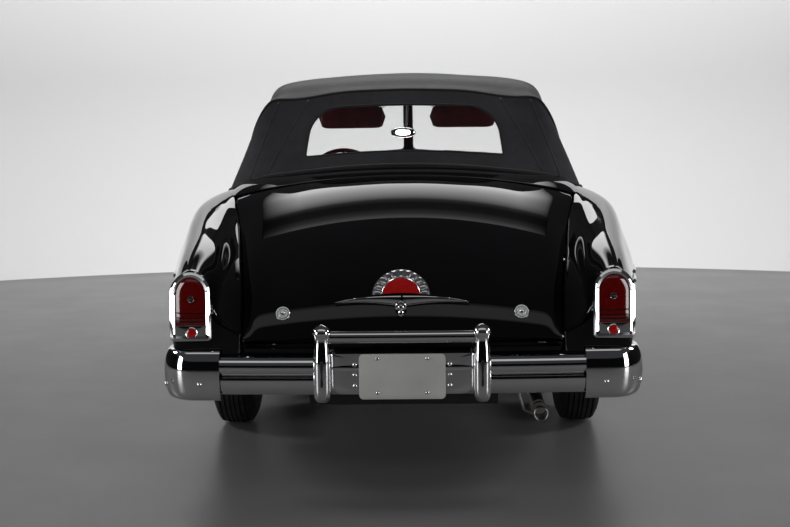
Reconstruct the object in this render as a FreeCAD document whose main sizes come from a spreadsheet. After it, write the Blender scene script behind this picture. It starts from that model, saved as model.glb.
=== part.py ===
import FreeCAD, Part, Sketcher  # FreeCAD first: the others need it loaded
import math
import os
import re

# A 1950s six-seat convertible car with its soft top up, as an assembly of separate pieces.
# Frame: +Z up, the nose towards -Y, the car's left side on +X. The origin is on the ground under
# the middle of the car. Units are millimetres.

V = FreeCAD.Vector
X_AXIS, Y_AXIS, Z_AXIS = V(1, 0, 0), V(0, 1, 0), V(0, 0, 1)
LEFT, RIGHT = 1, -1
SIDES = (("left", LEFT), ("right", RIGHT))

doc = FreeCAD.newDocument("convertible")

# ---------------------------------------------------------------- driving dimensions
DIMENSIONS = {
    "overall_length": 5252, "wheelbase": 2997, "front_overhang": 876,
    "track_front": 1486, "track_rear": 1524, "axle_height": 352,
    "tyre_radius": 352, "tyre_width": 184, "tyre_crown": 8, "tyre_shoulder": 34, "rim_radius": 190,
    "rim_width": 140, "rim_thickness": 14, "hub_bore": 30.3, "hub_radius": 62, "stub_radius": 30,
    "cap_radius": 150, "cap_depth": 42,
    "fender_wall": 50, "door_wall": 112, "quarter_wall": 76, "lid_wall": 32,
    "panel_gap": 6, "lid_gap": 8, "lid_corner": 20, "lid_corner_length": 130,
    "front_arch_radius": 386, "rear_arch_radius": 400, "rear_arch_drop": 118,
    "hood_back": -1040, "door_front": -880, "door_length": 1380, "door_axis_x": 976,
    "cowl_back": -800, "surround_front": 1180, "lid_front": 1475,
    "canvas": 14, "glass": 6, "sill_top": 324,
    "rail_x": 410, "rail_width": 70, "rail_front": -2420, "rail_back": 2440,
    "rail_nose": 310, "rail_low": 240, "rail_high": 478, "rail_tail": 402, "rail_depth": 89,
    "tie_half": 45, "outrigger_reach": 838,
    "floor_half": 795, "floor_top": 350, "floor_plate": 20, "floor_back": 880, "firewall": -1150,
    "firewall_half": 640, "firewall_top": 885, "tunnel_half": 165, "tunnel_top": 545, "tunnel_wall": 15,
    "trunk_half": 620, "trunk_shelf": 610, "trunk_step": 1710, "trunk_floor": 560,
    "engine_half": 250, "engine_front": -2020, "engine_back": -1330, "engine_low": 330, "engine_top": 860,
    "gearbox_half": 130, "gearbox_back": -700, "gearbox_top": 510, "mount_reach": 374.5,
    "radiator_half": 300, "radiator_front": -2380, "radiator_depth": 70, "radiator_low": 400,
    "radiator_top": 850,
    "axle_tube": 42, "axle_gears": 135, "shaft_radius": 36, "shaft_front": -640,
    "spring_x": 480, "spring_width": 60, "spring_half": 560, "spring_low": 400, "spring_thickness": 24,
    "brake_radius": 145, "kingpin_x": 640, "kingpin_radius": 18, "upright_radius": 34, "brake_front": 80,
    "arm_x": 440, "low_arm": 236, "low_arm_depth": 26, "high_arm": 452, "high_arm_depth": 24,
    "coil_x": 520, "coil_radius": 46, "eye_radius": 36,
    "pipe_radius": 25, "tip_radius": 28, "tip_front": 2060, "tip_back": 2300, "pipe_x": -515, "pipe_z": 286,
    "exhaust_x": -290, "exhaust_z": 262, "muffler_radius": 62, "muffler_front": 150, "muffler_back": 720,
    "tank_half": 360, "tank_front": 1740, "tank_back": 2300, "tank_low": 300, "tank_top": 398,
    "column_x": 365, "column_radius": 24, "wheel_ring": 215, "wheel_grip": 12, "wheel_hub": 44,
    "bench_half": 690, "bench_front": -280, "bench_back": 240, "bench_top": 640, "bench_depth": 150,
}
sheet = doc.addObject("Spreadsheet::Sheet", "Dims")
for row, (alias, value) in enumerate(DIMENSIONS.items(), start=1):
    sheet.set(f"A{row}", alias)
    sheet.set(f"B{row}", str(value))
    sheet.setAlias(f"B{row}", alias)
doc.recompute()


def dim(alias):
    """A driving dimension read back from the sheet, in mm."""
    return float(getattr(sheet, alias))


FRONT_END = -dim("overall_length") / 2
REAR_END = dim("overall_length") / 2
FRONT_AXLE = FRONT_END + dim("front_overhang")
REAR_AXLE = FRONT_AXLE + dim("wheelbase")
AXLE_Z = dim("axle_height")

# ---------------------------------------------------------------- the body's lines
# One row a station along the car: where the side of the body is at its lowest edge, its widest
# line, its shoulder, its crest, and the valley where it meets the hood, a sill or the deck lid.
SIDE_LINES = ("bottom", "widest", "shoulder", "crest", "inner", "valley")
SIDE_COLUMNS = ("y", *[f"{line}_{axis}" for line in SIDE_LINES for axis in "xz"])
SIDE_STATIONS = [dict(zip(SIDE_COLUMNS, row)) for row in (
    (-2490, 825, 400, 905, 640, 880, 800, 745, 893, 651, 884, 560, 862),
    (-2250, 870, 330, 948, 620, 908, 822, 778, 917, 684, 919, 590, 908),
    (-1750, 902, 290, 966, 612, 925, 845, 800, 945, 720, 953, 640, 950),
    (-1250, 905, 285, 972, 612, 930, 858, 815, 958, 753, 971, 690, 976),
    (-880, 905, 285, 973, 612, 932, 864, 832, 962, 778, 977, 722, 985),
    (-200, 905, 285, 975, 612, 935, 868, 848, 964, 799, 980, 748, 990),
    (500, 905, 285, 976, 615, 936, 868, 852, 970, 806, 988, 756, 1000),
    (1000, 905, 285, 976.5, 622, 940, 880, 856, 1000, 812, 1020, 765, 1034),
    (1400, 905, 290, 975, 636, 936, 900, 842, 1030, 798, 1046, 749, 1052),
    (1700, 898, 310, 960, 645, 912, 892, 822, 1002, 760, 1000, 694, 972),
    (2000, 868, 345, 916, 655, 880, 862, 800, 950, 724, 926, 648, 862),
    (2300, 832, 400, 868, 665, 848, 828, 782, 893, 704, 842, 609, 732),
    (2480, 815, 470, 848, 660, 829, 790, 774, 846, 702, 740, 592, 606),
)]
# One row a station: the crown on the centre line and the shoulder of the hood or the deck lid.
# side_share is the shoulder's place as a share of the valley's x.
CROWN_COLUMNS = ("y", "crown_z", "brow_share", "brow_z")
HOOD_CROWN = [dict(zip(CROWN_COLUMNS, row)) for row in (
    (-2545, 752, 0.72, 744), (-2500, 836, 0.72, 822), (-2400, 906, 0.74, 890), (-2250, 952, 0.75, 932),
    (-1750, 1030, 0.76, 1003), (-1250, 1062, 0.78, 1030), (-1040, 1074, 0.78, 1040),
    (-800, 1086, 0.78, 1048))]
DECK_CROWN = [dict(zip(CROWN_COLUMNS, row)) for row in (
    (1180, 1160, 0.80, 1108), (1310, 1150, 0.80, 1096), (1400, 1139, 0.805, 1082),
    (1475, 1121.5, 0.81, 1061), (1560, 1098.5, 0.82, 1038), (1700, 1058, 0.84, 997),
    (1900, 995, 0.86, 934), (2100, 920, 0.87, 862), (2300, 820, 0.88, 772), (2410, 740, 0.88, 706), (2470, 666, 0.88, 644),
    (2500, 592, 0.88, 588))]


def blend(table, column, y):
    """A column of a table at y, on a smooth curve through its rows, straight past its ends."""
    rows = table
    spans = list(zip(rows, rows[1:]))
    index = next((i for i, (a, b) in enumerate(spans) if y <= b["y"]), len(spans) - 1)

    def slope(i):
        low, high = rows[max(i - 1, 0)], rows[min(i + 1, len(rows) - 1)]
        return (high[column] - low[column]) / (high["y"] - low["y"])

    a, b = spans[index]
    span = b["y"] - a["y"]
    u = (y - a["y"]) / span
    if u < 0 or u > 1:
        end = index if u < 0 else index + 1
        return rows[end][column] + slope(end) * (y - rows[end]["y"])
    return ((2 * u**3 - 3 * u**2 + 1) * a[column] + (u**3 - 2 * u**2 + u) * span * slope(index)
            + (3 * u**2 - 2 * u**3) * b[column] + (u**3 - u**2) * span * slope(index + 1))


def side_point(y, line):
    """(x, z) of one of the side's lines at y."""
    return blend(SIDE_STATIONS, line + "_x", y), blend(SIDE_STATIONS, line + "_z", y)


SIDE_BULGES = (0.055, 0.075, 0.14)


def inner_bulges(y):
    """How far the fender's inner side stands out between crest, inner line and valley at y."""
    pod = min(max((y - 1700) / 780, 0.0), 1.0)
    return 0.02 + 0.13 * pod, 0.02 - 0.14 * pod


def bowed(start, end, bulge, side=LEFT):
    """The arc from start to end, (x, z) pairs at one y, standing out by bulge times its chord."""
    (x0, y0, z0), (x1, _, z1) = start, end
    chord_x, chord_z = x1 - x0, z1 - z0
    middle = V((x0 + x1) / 2 + side * bulge * chord_z * side, y0, (z0 + z1) / 2 - bulge * chord_x)
    return Part.Arc(V(*start), middle, V(*end)).toShape()


def wire_of(edges):
    return Part.Wire(Part.__sortEdges__(edges))


def lofted(wires, ruled=False):
    return Part.makeLoft(wires, True, ruled)


def side_wire(y, wall):
    """The closed outline of the left side panel at y: arcs outside, straight lines inside."""
    outer = {line: side_point(y, line) for line in SIDE_LINES}
    at = {line: (x, y, z) for line, (x, z) in outer.items()}
    bulges = (*SIDE_BULGES, *inner_bulges(y))
    edges = [bowed(at[a], at[b], bulge) for a, b, bulge in zip(SIDE_LINES, SIDE_LINES[1:], bulges)]
    inner = [V(*at["valley"]), V(at["valley"][0] + 4, y, at["valley"][2] - 0.75 * wall),
             V(at["shoulder"][0] - wall, y, at["shoulder"][2] - 0.3 * wall),
             V(at["widest"][0] - wall, y, at["widest"][2]),
             V(at["bottom"][0] - 0.9 * wall, y, at["bottom"][2]),
             V(*at["bottom"])]
    edges += [Part.LineSegment(a, b).toShape() for a, b in zip(inner, inner[1:])]
    return wire_of(edges)


def crown_wire(table, y, inset, wall):
    """The closed outline of the hood, cowl or deck lid at y, across the whole car."""
    valley_x, valley_z = side_point(y, "valley")
    edge_x = valley_x - inset
    brow_x, brow_z = blend(table, "brow_share", y) * valley_x, blend(table, "brow_z", y)
    crown_z = blend(table, "crown_z", y)
    valley_z = min(valley_z, brow_z - 4)

    def skin(lower, sign):
        points = [V(sign * edge_x, y, valley_z - lower), V(sign * brow_x, y, brow_z - lower)]
        half = V(sign * (edge_x + brow_x) / 2, y, (valley_z + brow_z) / 2 + 0.05 * (edge_x - brow_x) - lower)
        return Part.Arc(points[0], half, points[1]).toShape(), points

    edges = []
    ends = {}
    for lower in (0.0, wall):
        left, left_points = skin(lower, 1)
        right, right_points = skin(lower, -1)
        across = Part.Arc(left_points[1], V(0, y, crown_z - lower), right_points[1]).toShape()
        edges += [left, across, right]
        ends[lower] = (left_points[0], right_points[0])
    edges += [Part.LineSegment(ends[0.0][k], ends[wall][k]).toShape() for k in (0, 1)]
    return wire_of(edges)


def block(x0, x1, y0, y1, z0, z1):
    return Part.makeBox(x1 - x0, y1 - y0, z1 - z0, V(x0, y0, z0))


def rod(start, end, radius):
    start, end = V(*start), V(*end)
    return Part.makeCylinder(radius, (end - start).Length, start, end - start)


def mirrored(shape):
    return shape.mirror(V(0, 0, 0), X_AXIS)


def both(shape):
    return Part.makeCompound([shape, mirrored(shape)])


NODES = {}


def node(name, shape):
    """Puts a ready shape in the document as a sub-part."""
    made = doc.addObject("Part::Feature", name)
    made.Label = name
    made.Shape = shape
    made.Placement = FreeCAD.Placement()
    NODES[name] = made
    return made


def keep(name, made):
    """Registers a parametric object of the document as a sub-part."""
    made.Label = name
    NODES[name] = made
    return made


def stations(table, low, high):
    """The y of both ends and of the table's rows between them."""
    return [low] + [row["y"] for row in table if low + 20 < row["y"] < high - 20] + [high]


# ---------------------------------------------------------------- front fenders, doors, quarters
FENDER_BACK = dim("door_front") - dim("panel_gap")
HEADLAMP = (722, -2490, 772)
HEADLAMP_RADIUS = 104
TAIL_X, TAIL_Z = 774, 700
DOOR_AXIS = V(dim("door_axis_x"), dim("door_front"), 0)


def front_fender():
    wires = [side_wire(y, dim("fender_wall")) for y in stations(SIDE_STATIONS, -2490, FENDER_BACK)]
    shell = lofted(wires)
    arch = rod((560, FRONT_AXLE, AXLE_Z - 4), (1100, FRONT_AXLE, AXLE_Z - 4), dim("front_arch_radius"))
    nose_outline = side_wire(-2490, 300)
    nose = Part.Face(nose_outline).extrude(V(0, 46, 0))
    x, _, z = HEADLAMP
    lamp_hole = rod((x, -2600, z), (x, -2400, z), HEADLAMP_RADIUS - 8)
    return shell.cut(arch).fuse(nose).cut(lamp_hole).removeSplitter()


def door():
    low, high = dim("door_front"), dim("door_front") + dim("door_length") + 30
    slab = lofted([side_wire(y, dim("door_wall")) for y in stations(SIDE_STATIONS, low, high)])
    reach = Part.makeCylinder(dim("door_length"), 1400, DOOR_AXIS)
    below = block(500, 1100, -1100, 700, 0, dim("sill_top") + dim("panel_gap"))
    return slab.common(reach).cut(below)


def sill():
    low = FENDER_BACK + 6
    slab = lofted([side_wire(y, 70) for y in stations(SIDE_STATIONS, low, 494)])
    above = block(500, 1100, -1100, 700, dim("sill_top"), 1400)
    return slab.cut(above)


def rear_quarter():
    low = dim("door_front") + dim("door_length") - 30
    wires = [side_wire(y, dim("quarter_wall")) for y in stations(SIDE_STATIONS, low, 2480)]
    shell = lofted(wires)
    door_sweep = Part.makeCylinder(dim("door_length") + dim("panel_gap"), 1400, DOOR_AXIS)
    well = rod((560, REAR_AXLE, AXLE_Z), (902, REAR_AXLE, AXLE_Z), dim("rear_arch_radius"))
    mouth_z = AXLE_Z - dim("rear_arch_drop")
    mouth = rod((560, REAR_AXLE, mouth_z), (1100, REAR_AXLE, mouth_z), dim("rear_arch_radius"))
    tail = [(TAIL_X + (x - TAIL_X) * 0.985, 2478, TAIL_Z + (z - TAIL_Z) * 0.985)
            for x, z in (side_point(2480, line) for line in SIDE_LINES)]
    edges = [bowed(a, b, bulge) for a, b, bulge in zip(tail, tail[1:], (*SIDE_BULGES, *inner_bulges(2480)))]
    foot = V(tail[-1][0] + 4, 2478, 478)
    edges += [Part.LineSegment(a, b).toShape() for a, b in ((V(*tail[-1]), foot), (foot, V(*tail[0])))]
    cap = Part.Face(wire_of(edges)).extrude(V(0, -28, 0))
    return shell.cut(door_sweep).cut(well).cut(mouth).fuse(cap).removeSplitter()


def glass_plate(outline, thickness):
    """A flat side window: outline is (y, z) points, leaning in with the greenhouse."""
    lean = 0.265
    points = [V(736 - (z - 985) * lean, y, z) for y, z in outline]
    normal = V(1, 0, lean)
    normal.normalize()
    face = Part.Face(Part.makePolygon(points + points[:1]))
    return face.extrude(normal * -thickness)


PILLAR_FOOT, PILLAR_SLOPE = (-846, 1000), 0.70


def pillar_y(z):
    return PILLAR_FOOT[0] + (z - PILLAR_FOOT[1]) * PILLAR_SLOPE


DOOR_GLASS = [(pillar_y(1004), 1004), (486, 1004), (480, 1402), (-100, 1402), (pillar_y(1368), 1368)]
QUARTER_GLASS = [(500, 1012), (905, 1050), (880, 1330), (820, 1402), (494, 1402)]

fender_shape, door_shape, quarter_shape, sill_shape = front_fender(), door(), rear_quarter(), sill()
door_glass = glass_plate(DOOR_GLASS, dim("glass"))
for side, sign in SIDES:
    placed = (lambda shape: shape) if sign == LEFT else mirrored
    node(f"front_fender_{side}", placed(fender_shape))
    node(f"door_{side}", placed(door_shape))
    node(f"door_glass_{side}", placed(door_glass))
    node(f"sill_{side}", placed(sill_shape))
    node(f"rear_quarter_{side}", placed(quarter_shape))

# ---------------------------------------------------------------- hood, cowl, deck
hood_ys = stations(HOOD_CROWN, -2545, dim("hood_back"))
hood_shape = lofted([crown_wire(HOOD_CROWN, y, dim("lid_gap"), dim("lid_wall")) for y in hood_ys])
node("hood", hood_shape)

COWL_FRONT = dim("hood_back") + dim("panel_gap")


def cowl():
    ys = (COWL_FRONT, -960, -896)
    front = lofted([crown_wire(HOOD_CROWN, y, dim("panel_gap"), 36) for y in ys])
    back = lofted([crown_wire(HOOD_CROWN, y, dim("panel_gap"), 36) for y in (-896, -850, dim("cowl_back"))])
    posts = both(block(690, 850, COWL_FRONT, -892, 352, 830))
    braces = both(block(690, 706, COWL_FRONT, -892, 820, 960))
    return front.fuse([back, *posts.Solids, *braces.Solids]).removeSplitter()


node("cowl", cowl())


def lid_inset(y):
    """The lid's distance from the valley: wider at its front corners, which swing rearwards as it opens."""
    past = (y - dim("lid_front")) / dim("lid_corner_length")
    return dim("lid_gap") + dim("lid_corner") * max(0.0, 1 - past)


lid_ys = stations(DECK_CROWN, dim("lid_front"), 2500)
lid_ys.insert(1, dim("lid_front") + dim("lid_corner_length") / 2)
node("deck_lid", lofted([crown_wire(DECK_CROWN, y, lid_inset(y), dim("lid_wall")) for y in lid_ys]))
surround_ys = stations(DECK_CROWN, dim("surround_front"), dim("lid_front") - dim("panel_gap"))
node("deck_surround", lofted([crown_wire(DECK_CROWN, y, 2, 36) for y in surround_ys]))


def plan_band(half, middle_y, end_y, thickness, low, high):
    """A plate bowed in plan, upright, from low to high: its outer face is an arc across the car."""
    step = thickness if middle_y < 0 else -thickness
    edges = []
    for back in (0, step):
        ends = [V(side * half, end_y + back, low) for side in (RIGHT, LEFT)]
        edges.append(Part.Arc(ends[0], V(0, middle_y + back, low), ends[1]).toShape())
    for side in (RIGHT, LEFT):
        foot = V(side * half, end_y, low)
        edges.append(Part.LineSegment(foot, foot + V(0, step, 0)).toShape())
    return Part.Face(wire_of(edges)).extrude(V(0, 0, high - low))


arm_gaps = both(block(528, 572, 2300, 2600, 422, 476))
node("tail_panel", plan_band(584, 2500, 2478, 30, 400, 552).cut(arm_gaps.Solids))
front_opening = block(-520, 520, -2700, -2400, 530, 690)
node("front_panel", plan_band(552, -2540, -2516, 30, 520, 698).cut(front_opening))

# ---------------------------------------------------------------- windshield
SCREEN_FOOT, SCREEN_HIP = V(0, -1000, 1085), V(700, -860, 1030)
SCREEN_TOP, SCREEN_EAR = V(0, -690, 1475), V(615, -568.3, 1425)
SCREEN_NORMAL = (SCREEN_HIP - SCREEN_FOOT).cross(SCREEN_TOP - SCREEN_FOOT)
SCREEN_NORMAL.normalize()


def on_screen(across, up):
    """A point of the left half of the screen: across and up run from 0 to 1 over its glass."""
    low = SCREEN_FOOT + (SCREEN_HIP - SCREEN_FOOT) * across
    high = SCREEN_TOP + (SCREEN_EAR - SCREEN_TOP) * across
    point = low + (high - low) * up
    return point - SCREEN_NORMAL * SCREEN_NORMAL.dot(point - SCREEN_FOOT)


def screen_plate(corners, thickness, sink=0.0):
    points = [on_screen(across, up) + SCREEN_NORMAL * sink for across, up in corners]
    return Part.Face(Part.makePolygon(points + points[:1])).extrude(SCREEN_NORMAL * thickness)


def body_fill(low, high, table, drop=500):
    """Everything under the body's upper skin between two stations, as a cutter."""
    wires = []
    for y in stations(SIDE_STATIONS, low, high):
        points = [side_point(y, line) for line in ("shoulder", "crest", "valley")]
        brow = (blend(table, "brow_share", y) * points[2][0], blend(table, "brow_z", y))
        half = points + [brow]
        crown = blend(table, "crown_z", y)
        ridge = [V(x, y, z) for x, z in half] + [V(0, y, crown)]
        ridge += [V(-x, y, z) for x, z in reversed(half)]
        base = [V(-half[0][0], y, crown - drop), V(half[0][0], y, crown - drop)]
        loop = ridge + base
        wires.append(Part.makePolygon(loop + loop[:1]))
    return lofted(wires)


def largest(shape):
    return max(shape.Solids, key=lambda solid: solid.Volume)


frame_half = screen_plate(((-0.08, -0.09), (1.0, -0.2), (1.0, 1), (-0.08, 1)), 30)
frame_half = frame_half.common(block(0, 707, COWL_FRONT, 0, 800, 1700))
pane_corners = ((0.022, 0.07), (0.945, 0.09), (0.94, 0.90), (0.022, 0.905))
frame_half = frame_half.cut(screen_plate(pane_corners, 60, -15))
frame_fill = body_fill(-1250, -600, HOOD_CROWN, 300)
screen_frame = frame_half.fuse(mirrored(frame_half)).removeSplitter().cut([frame_fill, NODES["cowl"].Shape])
node("windshield_frame", largest(screen_frame))
pane = screen_plate(pane_corners, dim("glass"), 12)
quarter_pane = glass_plate(QUARTER_GLASS, dim("glass"))
panes = Part.makeCompound([pane, mirrored(pane), quarter_pane, mirrored(quarter_pane)])
node("fixed_glass", panes)

# ---------------------------------------------------------------- soft top
TOP_COLUMNS = ("y", "foot_x", "foot_z", "side_x", "side_z", "rail_x", "rail_z", "brow_x", "brow_z",
               "crown_z")
ROOF = [dict(zip(TOP_COLUMNS, row)) for row in (
    (-720, 762, 960, 700, 1200, 640, 1400, 530, 1438, 1470),
    (-450, 764, 970, 704, 1200, 664, 1405, 545, 1480, 1520),
    (-100, 765, 985, 708, 1202, 682, 1412, 555, 1518, 1558),
    (300, 768, 995, 712, 1205, 690, 1415, 560, 1534, 1574),
    (600, 771, 1005, 716, 1208, 672, 1412, 552, 1524, 1560),
    (850, 777, 1012, 722, 1210, 655, 1404, 544, 1488, 1526),
    (1000, 783, 1030, 728, 1195, 657, 1392, 540, 1450, 1491))]
CURTAIN = [dict(zip(TOP_COLUMNS, row)) for row in (
    (1000, 783, 1030, 728, 1195, 657, 1392, 540, 1450, 1491),
    (1060, 783, 1040, 724, 1195, 664, 1318, 510, 1386, 1426),
    (1120, 780, 1052, 718, 1158, 640, 1248, 490, 1322, 1361),
    (1200, 706, 1075, 688, 1106, 624, 1163, 460, 1241, 1274),
    (1270, 622, 1085, 606, 1100, 560, 1125, 420, 1168, 1198),
    (1340, 560, 1030, 540, 1048, 500, 1068, 380, 1100, 1123))]
TURN = 0.19


def top_wire(row, inset):
    """The closed outline of the soft top at one station: both skins, joined at the feet."""
    def half(depth):
        points = [(row["foot_x"] - depth, row["foot_z"]),
                  (row["side_x"] - depth, row["side_z"] - 0.4 * depth),
                  (row["rail_x"] - depth, row["rail_z"] - 0.6 * depth),
                  (row["brow_x"], row["brow_z"] - depth)]
        return [V(x, row["y"], z) for x, z in points]

    edges = []
    feet = []
    for depth in (0.0, inset):
        left = half(depth)
        right = [V(-p.x, p.y, p.z) for p in left]
        crown = V(0, row["y"], row["crown_z"] - depth)
        for chain in (left, right):
            side = Part.Arc(chain[0], chain[1], chain[2]).toShape()
            middle = (chain[2] + chain[3]) * 0.5
            rise, across = chain[3].z - chain[2].z, abs(chain[2].x - chain[3].x)
            out = V(math.copysign(rise, chain[0].x), 0, across) * TURN
            edges += [side, Part.Arc(chain[2], middle + out, chain[3]).toShape()]
        edges.append(Part.Arc(left[3], crown, right[3]).toShape())
        feet.append((left[0], right[0]))
    edges += [Part.LineSegment(feet[0][k], feet[1][k]).toShape() for k in (0, 1)]
    return wire_of(edges)


def prism_x(outline, half=1200):
    points = [V(-half, y, z) for y, z in outline]
    return Part.Face(Part.makePolygon(points + points[:1])).extrude(V(2 * half, 0, 0))


def rounded_window(half_low, half_high, low, high, radius, y0, y1):
    """A prism along Y whose outline is the rear window: a bowed foot and round upper corners."""
    corner = radius * (1 - math.sqrt(0.5))
    left = [V(half_low, y0, low), V(half_high, y0, high - radius),
            V(half_high - corner, y0, high - corner), V(half_high - radius, y0, high)]
    right = [V(-p.x, p.y, p.z) for p in left]
    edges = [Part.LineSegment(left[0], left[1]).toShape(), Part.LineSegment(right[0], right[1]).toShape(),
             Part.Arc(*left[1:]).toShape(), Part.Arc(*right[1:]).toShape(),
             Part.LineSegment(left[3], right[3]).toShape(),
             Part.Arc(left[0], V(0, y0, low + 26), right[0]).toShape()]
    return Part.Face(wire_of(edges)).extrude(V(0, y1 - y0, 0))


BACKLIGHT = (446, 418, 1194, 1425)
roof = lofted([top_wire(row, dim("canvas")) for row in ROOF])
curtain = lofted([top_wire(row, dim("canvas")) for row in CURTAIN])
canvas = roof.fuse(curtain)
side_opening = prism_x([(-1300, 700), (917, 700), (917, 1052), (892, 1332), (826, 1401), (-1300, 1401)])
deck_fill = body_fill(860, 1640, DECK_CROWN)
screen_front = screen_plate(((-0.1, -1), (1.4, -1), (1.4, 1.6), (-0.1, 1.6)), 260, -0.5)
screen_front = screen_front.common(block(0, 1400, -2400, 0, 300, 2400))
body_skins = [NODES[name].Shape for name in ("deck_surround", "rear_quarter_left", "rear_quarter_right")]
canvas = canvas.cut([side_opening, deck_fill, screen_front, mirrored(screen_front)] + body_skins)
backlight_hole = rounded_window(*BACKLIGHT, 115, 1010, 1560)
rear_pane = curtain.common(rounded_window(BACKLIGHT[0] - 1, BACKLIGHT[1] - 1, BACKLIGHT[2] + 1,
                                          BACKLIGHT[3] - 1, 114, 1010, 1560))
node("soft_top", largest(canvas.cut(backlight_hole)))
node("rear_window", largest(rear_pane))

# ---------------------------------------------------------------- bumpers and lamps
def bumper_bar(half, middle_y, end_y, outline):
    """A bar swept along a wide arc across the car; outline is (outward, z) round its section."""
    path = Part.Wire(Part.Arc(V(-half, end_y, 0), V(0, middle_y, 0), V(half, end_y, 0)).toShape())
    out = 1 if middle_y > 0 else -1
    points = [V(0, middle_y + out * dy, z) for dy, z in outline]
    section = Part.makePolygon(points + points[:1])
    start = path.Vertexes[0].Point
    tangent = path.Edges[0].tangentAt(path.Edges[0].FirstParameter)
    turn = math.degrees(math.atan2(tangent.y, tangent.x))
    section.translate(V(0, -middle_y, 0))
    section.rotate(V(0, 0, 0), Z_AXIS, turn)
    section.translate(V(start.x, start.y, 0))
    return path.makePipeShell([section], True, False)


def bumper(end_of_car, end_x, bar_low, bar_high, guard_x, guard_low, guard_high):
    """A wide bar, an upright block round each corner, and two guards with ball heads."""
    out = 1 if end_of_car > 0 else -1
    face = end_of_car - out * 62
    outline = ((-46, bar_low + 18), (-18, bar_low), (-4, bar_low + 14), (0, bar_low + 60),
               (-10, bar_high - 40), (-26, bar_high), (-46, bar_high - 10))
    bar = bumper_bar(720, face, face - out * 25, outline)
    end_low, end_high = bar_low - 24, bar_high + 26

    def at(x, back):
        return V(x, face - out * back, end_low)

    outer = [Part.Arc(at(690, 14), at(end_x - 46, 38), at(end_x - 8, 84)).toShape(),
             Part.Arc(at(end_x - 8, 84), at(end_x - 1, 120), at(end_x, 170)).toShape()]
    inner = [at(end_x, 170), at(end_x - 18, 170), at(end_x - 26, 74), at(690, 60), at(690, 14)]
    loop = wire_of(outer + [Part.LineSegment(a, b).toShape() for a, b in zip(inner, inner[1:])])
    end = Part.Face(loop).extrude(V(0, 0, end_high - end_low))
    beside = (face - out * 74, face - out * 400)
    end = end.cut(block(600, 1100, min(beside), max(beside), bar_high, 900))
    guards = []
    guard_face, guard_back = end_of_car - out * 6, face - out * 14
    for x in (-guard_x, guard_x):
        blade = block(x - 32, x + 32, min(guard_face, guard_back), max(guard_face, guard_back),
                      guard_low, guard_high - 32)
        cap = rod((x, guard_back, guard_high - 32), (x, guard_face, guard_high - 32), 32)
        nose = Part.makeSphere(34, V(x, end_of_car - out * 34, guard_high - 34))
        guards += [blade, cap, nose]
    return bar.fuse([end, mirrored(end)] + guards).removeSplitter()


rear_bumper = bumper(REAR_END, 890, 389, 530, 289, 372, 657)
upper_bar = bumper_bar(256, REAR_END - 30, REAR_END - 34, ((-24, 584), (0, 588), (0, 626), (-24, 630)))
centre_panel = block(-256, 256, REAR_END - 78, REAR_END - 56, 396, 545)
arms = both(block(530, 570, 2400, REAR_END - 106, 424, 474))
rear_bumper = rear_bumper.fuse([upper_bar, centre_panel, *arms.Solids])
node("rear_bumper", rear_bumper)
front_bumper = bumper(FRONT_END, 930, 372, 512, 300, 360, 640)
front_arms = both(block(500, 540, FRONT_END + 106, -2430, 400, 450))
node("front_bumper", front_bumper.fuse(front_arms.Solids))


def tail_lamp():
    outline = [(704, 590), (844, 590), (847, 700), (838, 772), (806, 820), (774, 837), (742, 820),
               (708, 772), (701, 700)]
    points = [V(x, 2481, z) for x, z in outline]
    body = Part.Face(Part.makePolygon(points + points[:1])).extrude(V(0, 18, 0))
    lens = block(722, 826, 2498, 2516, 644, 780)
    return body.fuse(lens).removeSplitter()


node("tail_lamps", both(tail_lamp()))


def headlamp():
    x, y, z = HEADLAMP
    shell = rod((x, y + 40, z), (x, y - 16, z), HEADLAMP_RADIUS - 9)
    rim = rod((x, y - 16, z), (x, y - 2, z), HEADLAMP_RADIUS)
    window = block(x - 90, x + 90, y - 60, y - 15, z - 90, z + 90)
    dome = Part.makeSphere(170, V(x, y + 122, z)).common(window)
    return shell.fuse([rim, dome]).removeSplitter()


node("headlamps", both(headlamp()))
grille = bumper_bar(500, -2538, -2522, ((-26, 585), (0, 592), (6, 612), (0, 632), (-26, 638)))
lower_bar = bumper_bar(510, -2532, -2518, ((-20, 534), (0, 538), (0, 560), (-20, 564)))
grille_posts = [block(x - 7, x + 7, -2540, -2512, 550, 688) for x in (-360, -240, -120, 0, 120, 240, 360)]
mesh_plate = block(-515, 515, -2514, -2506, 532, 688)
node("grille", grille.fuse([lower_bar, mesh_plate] + grille_posts).removeSplitter())

# ---------------------------------------------------------------- parametric pieces
# Everything from here on is built from objects of the document whose sizes are formulas over the sheet.
def formula(text):
    """A formula with the names of the sheet's cells written out in full."""
    return re.sub(r"[a-z]\w*", lambda word: f"Dims.{word.group()}", str(text))


def box(x0, x1, y0, y1, z0, z1):
    made = doc.addObject("Part::Box", "box")
    for size, axis, low, high in (("Length", "x", x0, x1), ("Width", "y", y0, y1), ("Height", "z", z0, z1)):
        made.setExpression(size, formula(f"({high}) - ({low})"))
        made.setExpression(f"Placement.Base.{axis}", formula(low))
    return made


TURN_TO = {"x": FreeCAD.Rotation(Y_AXIS, 90), "y": FreeCAD.Rotation(X_AXIS, -90), "z": FreeCAD.Rotation()}


def round_bar(axis, x, y, z, length, radius):
    """A cylinder along one axis of the car, from (x, y, z) on."""
    made = doc.addObject("Part::Cylinder", "round_bar")
    made.Placement.Rotation = TURN_TO[axis]
    made.setExpression("Radius", formula(radius))
    made.setExpression("Height", formula(length))
    for letter, at in (("x", x), ("y", y), ("z", z)):
        made.setExpression(f"Placement.Base.{letter}", formula(at))
    return made


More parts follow.
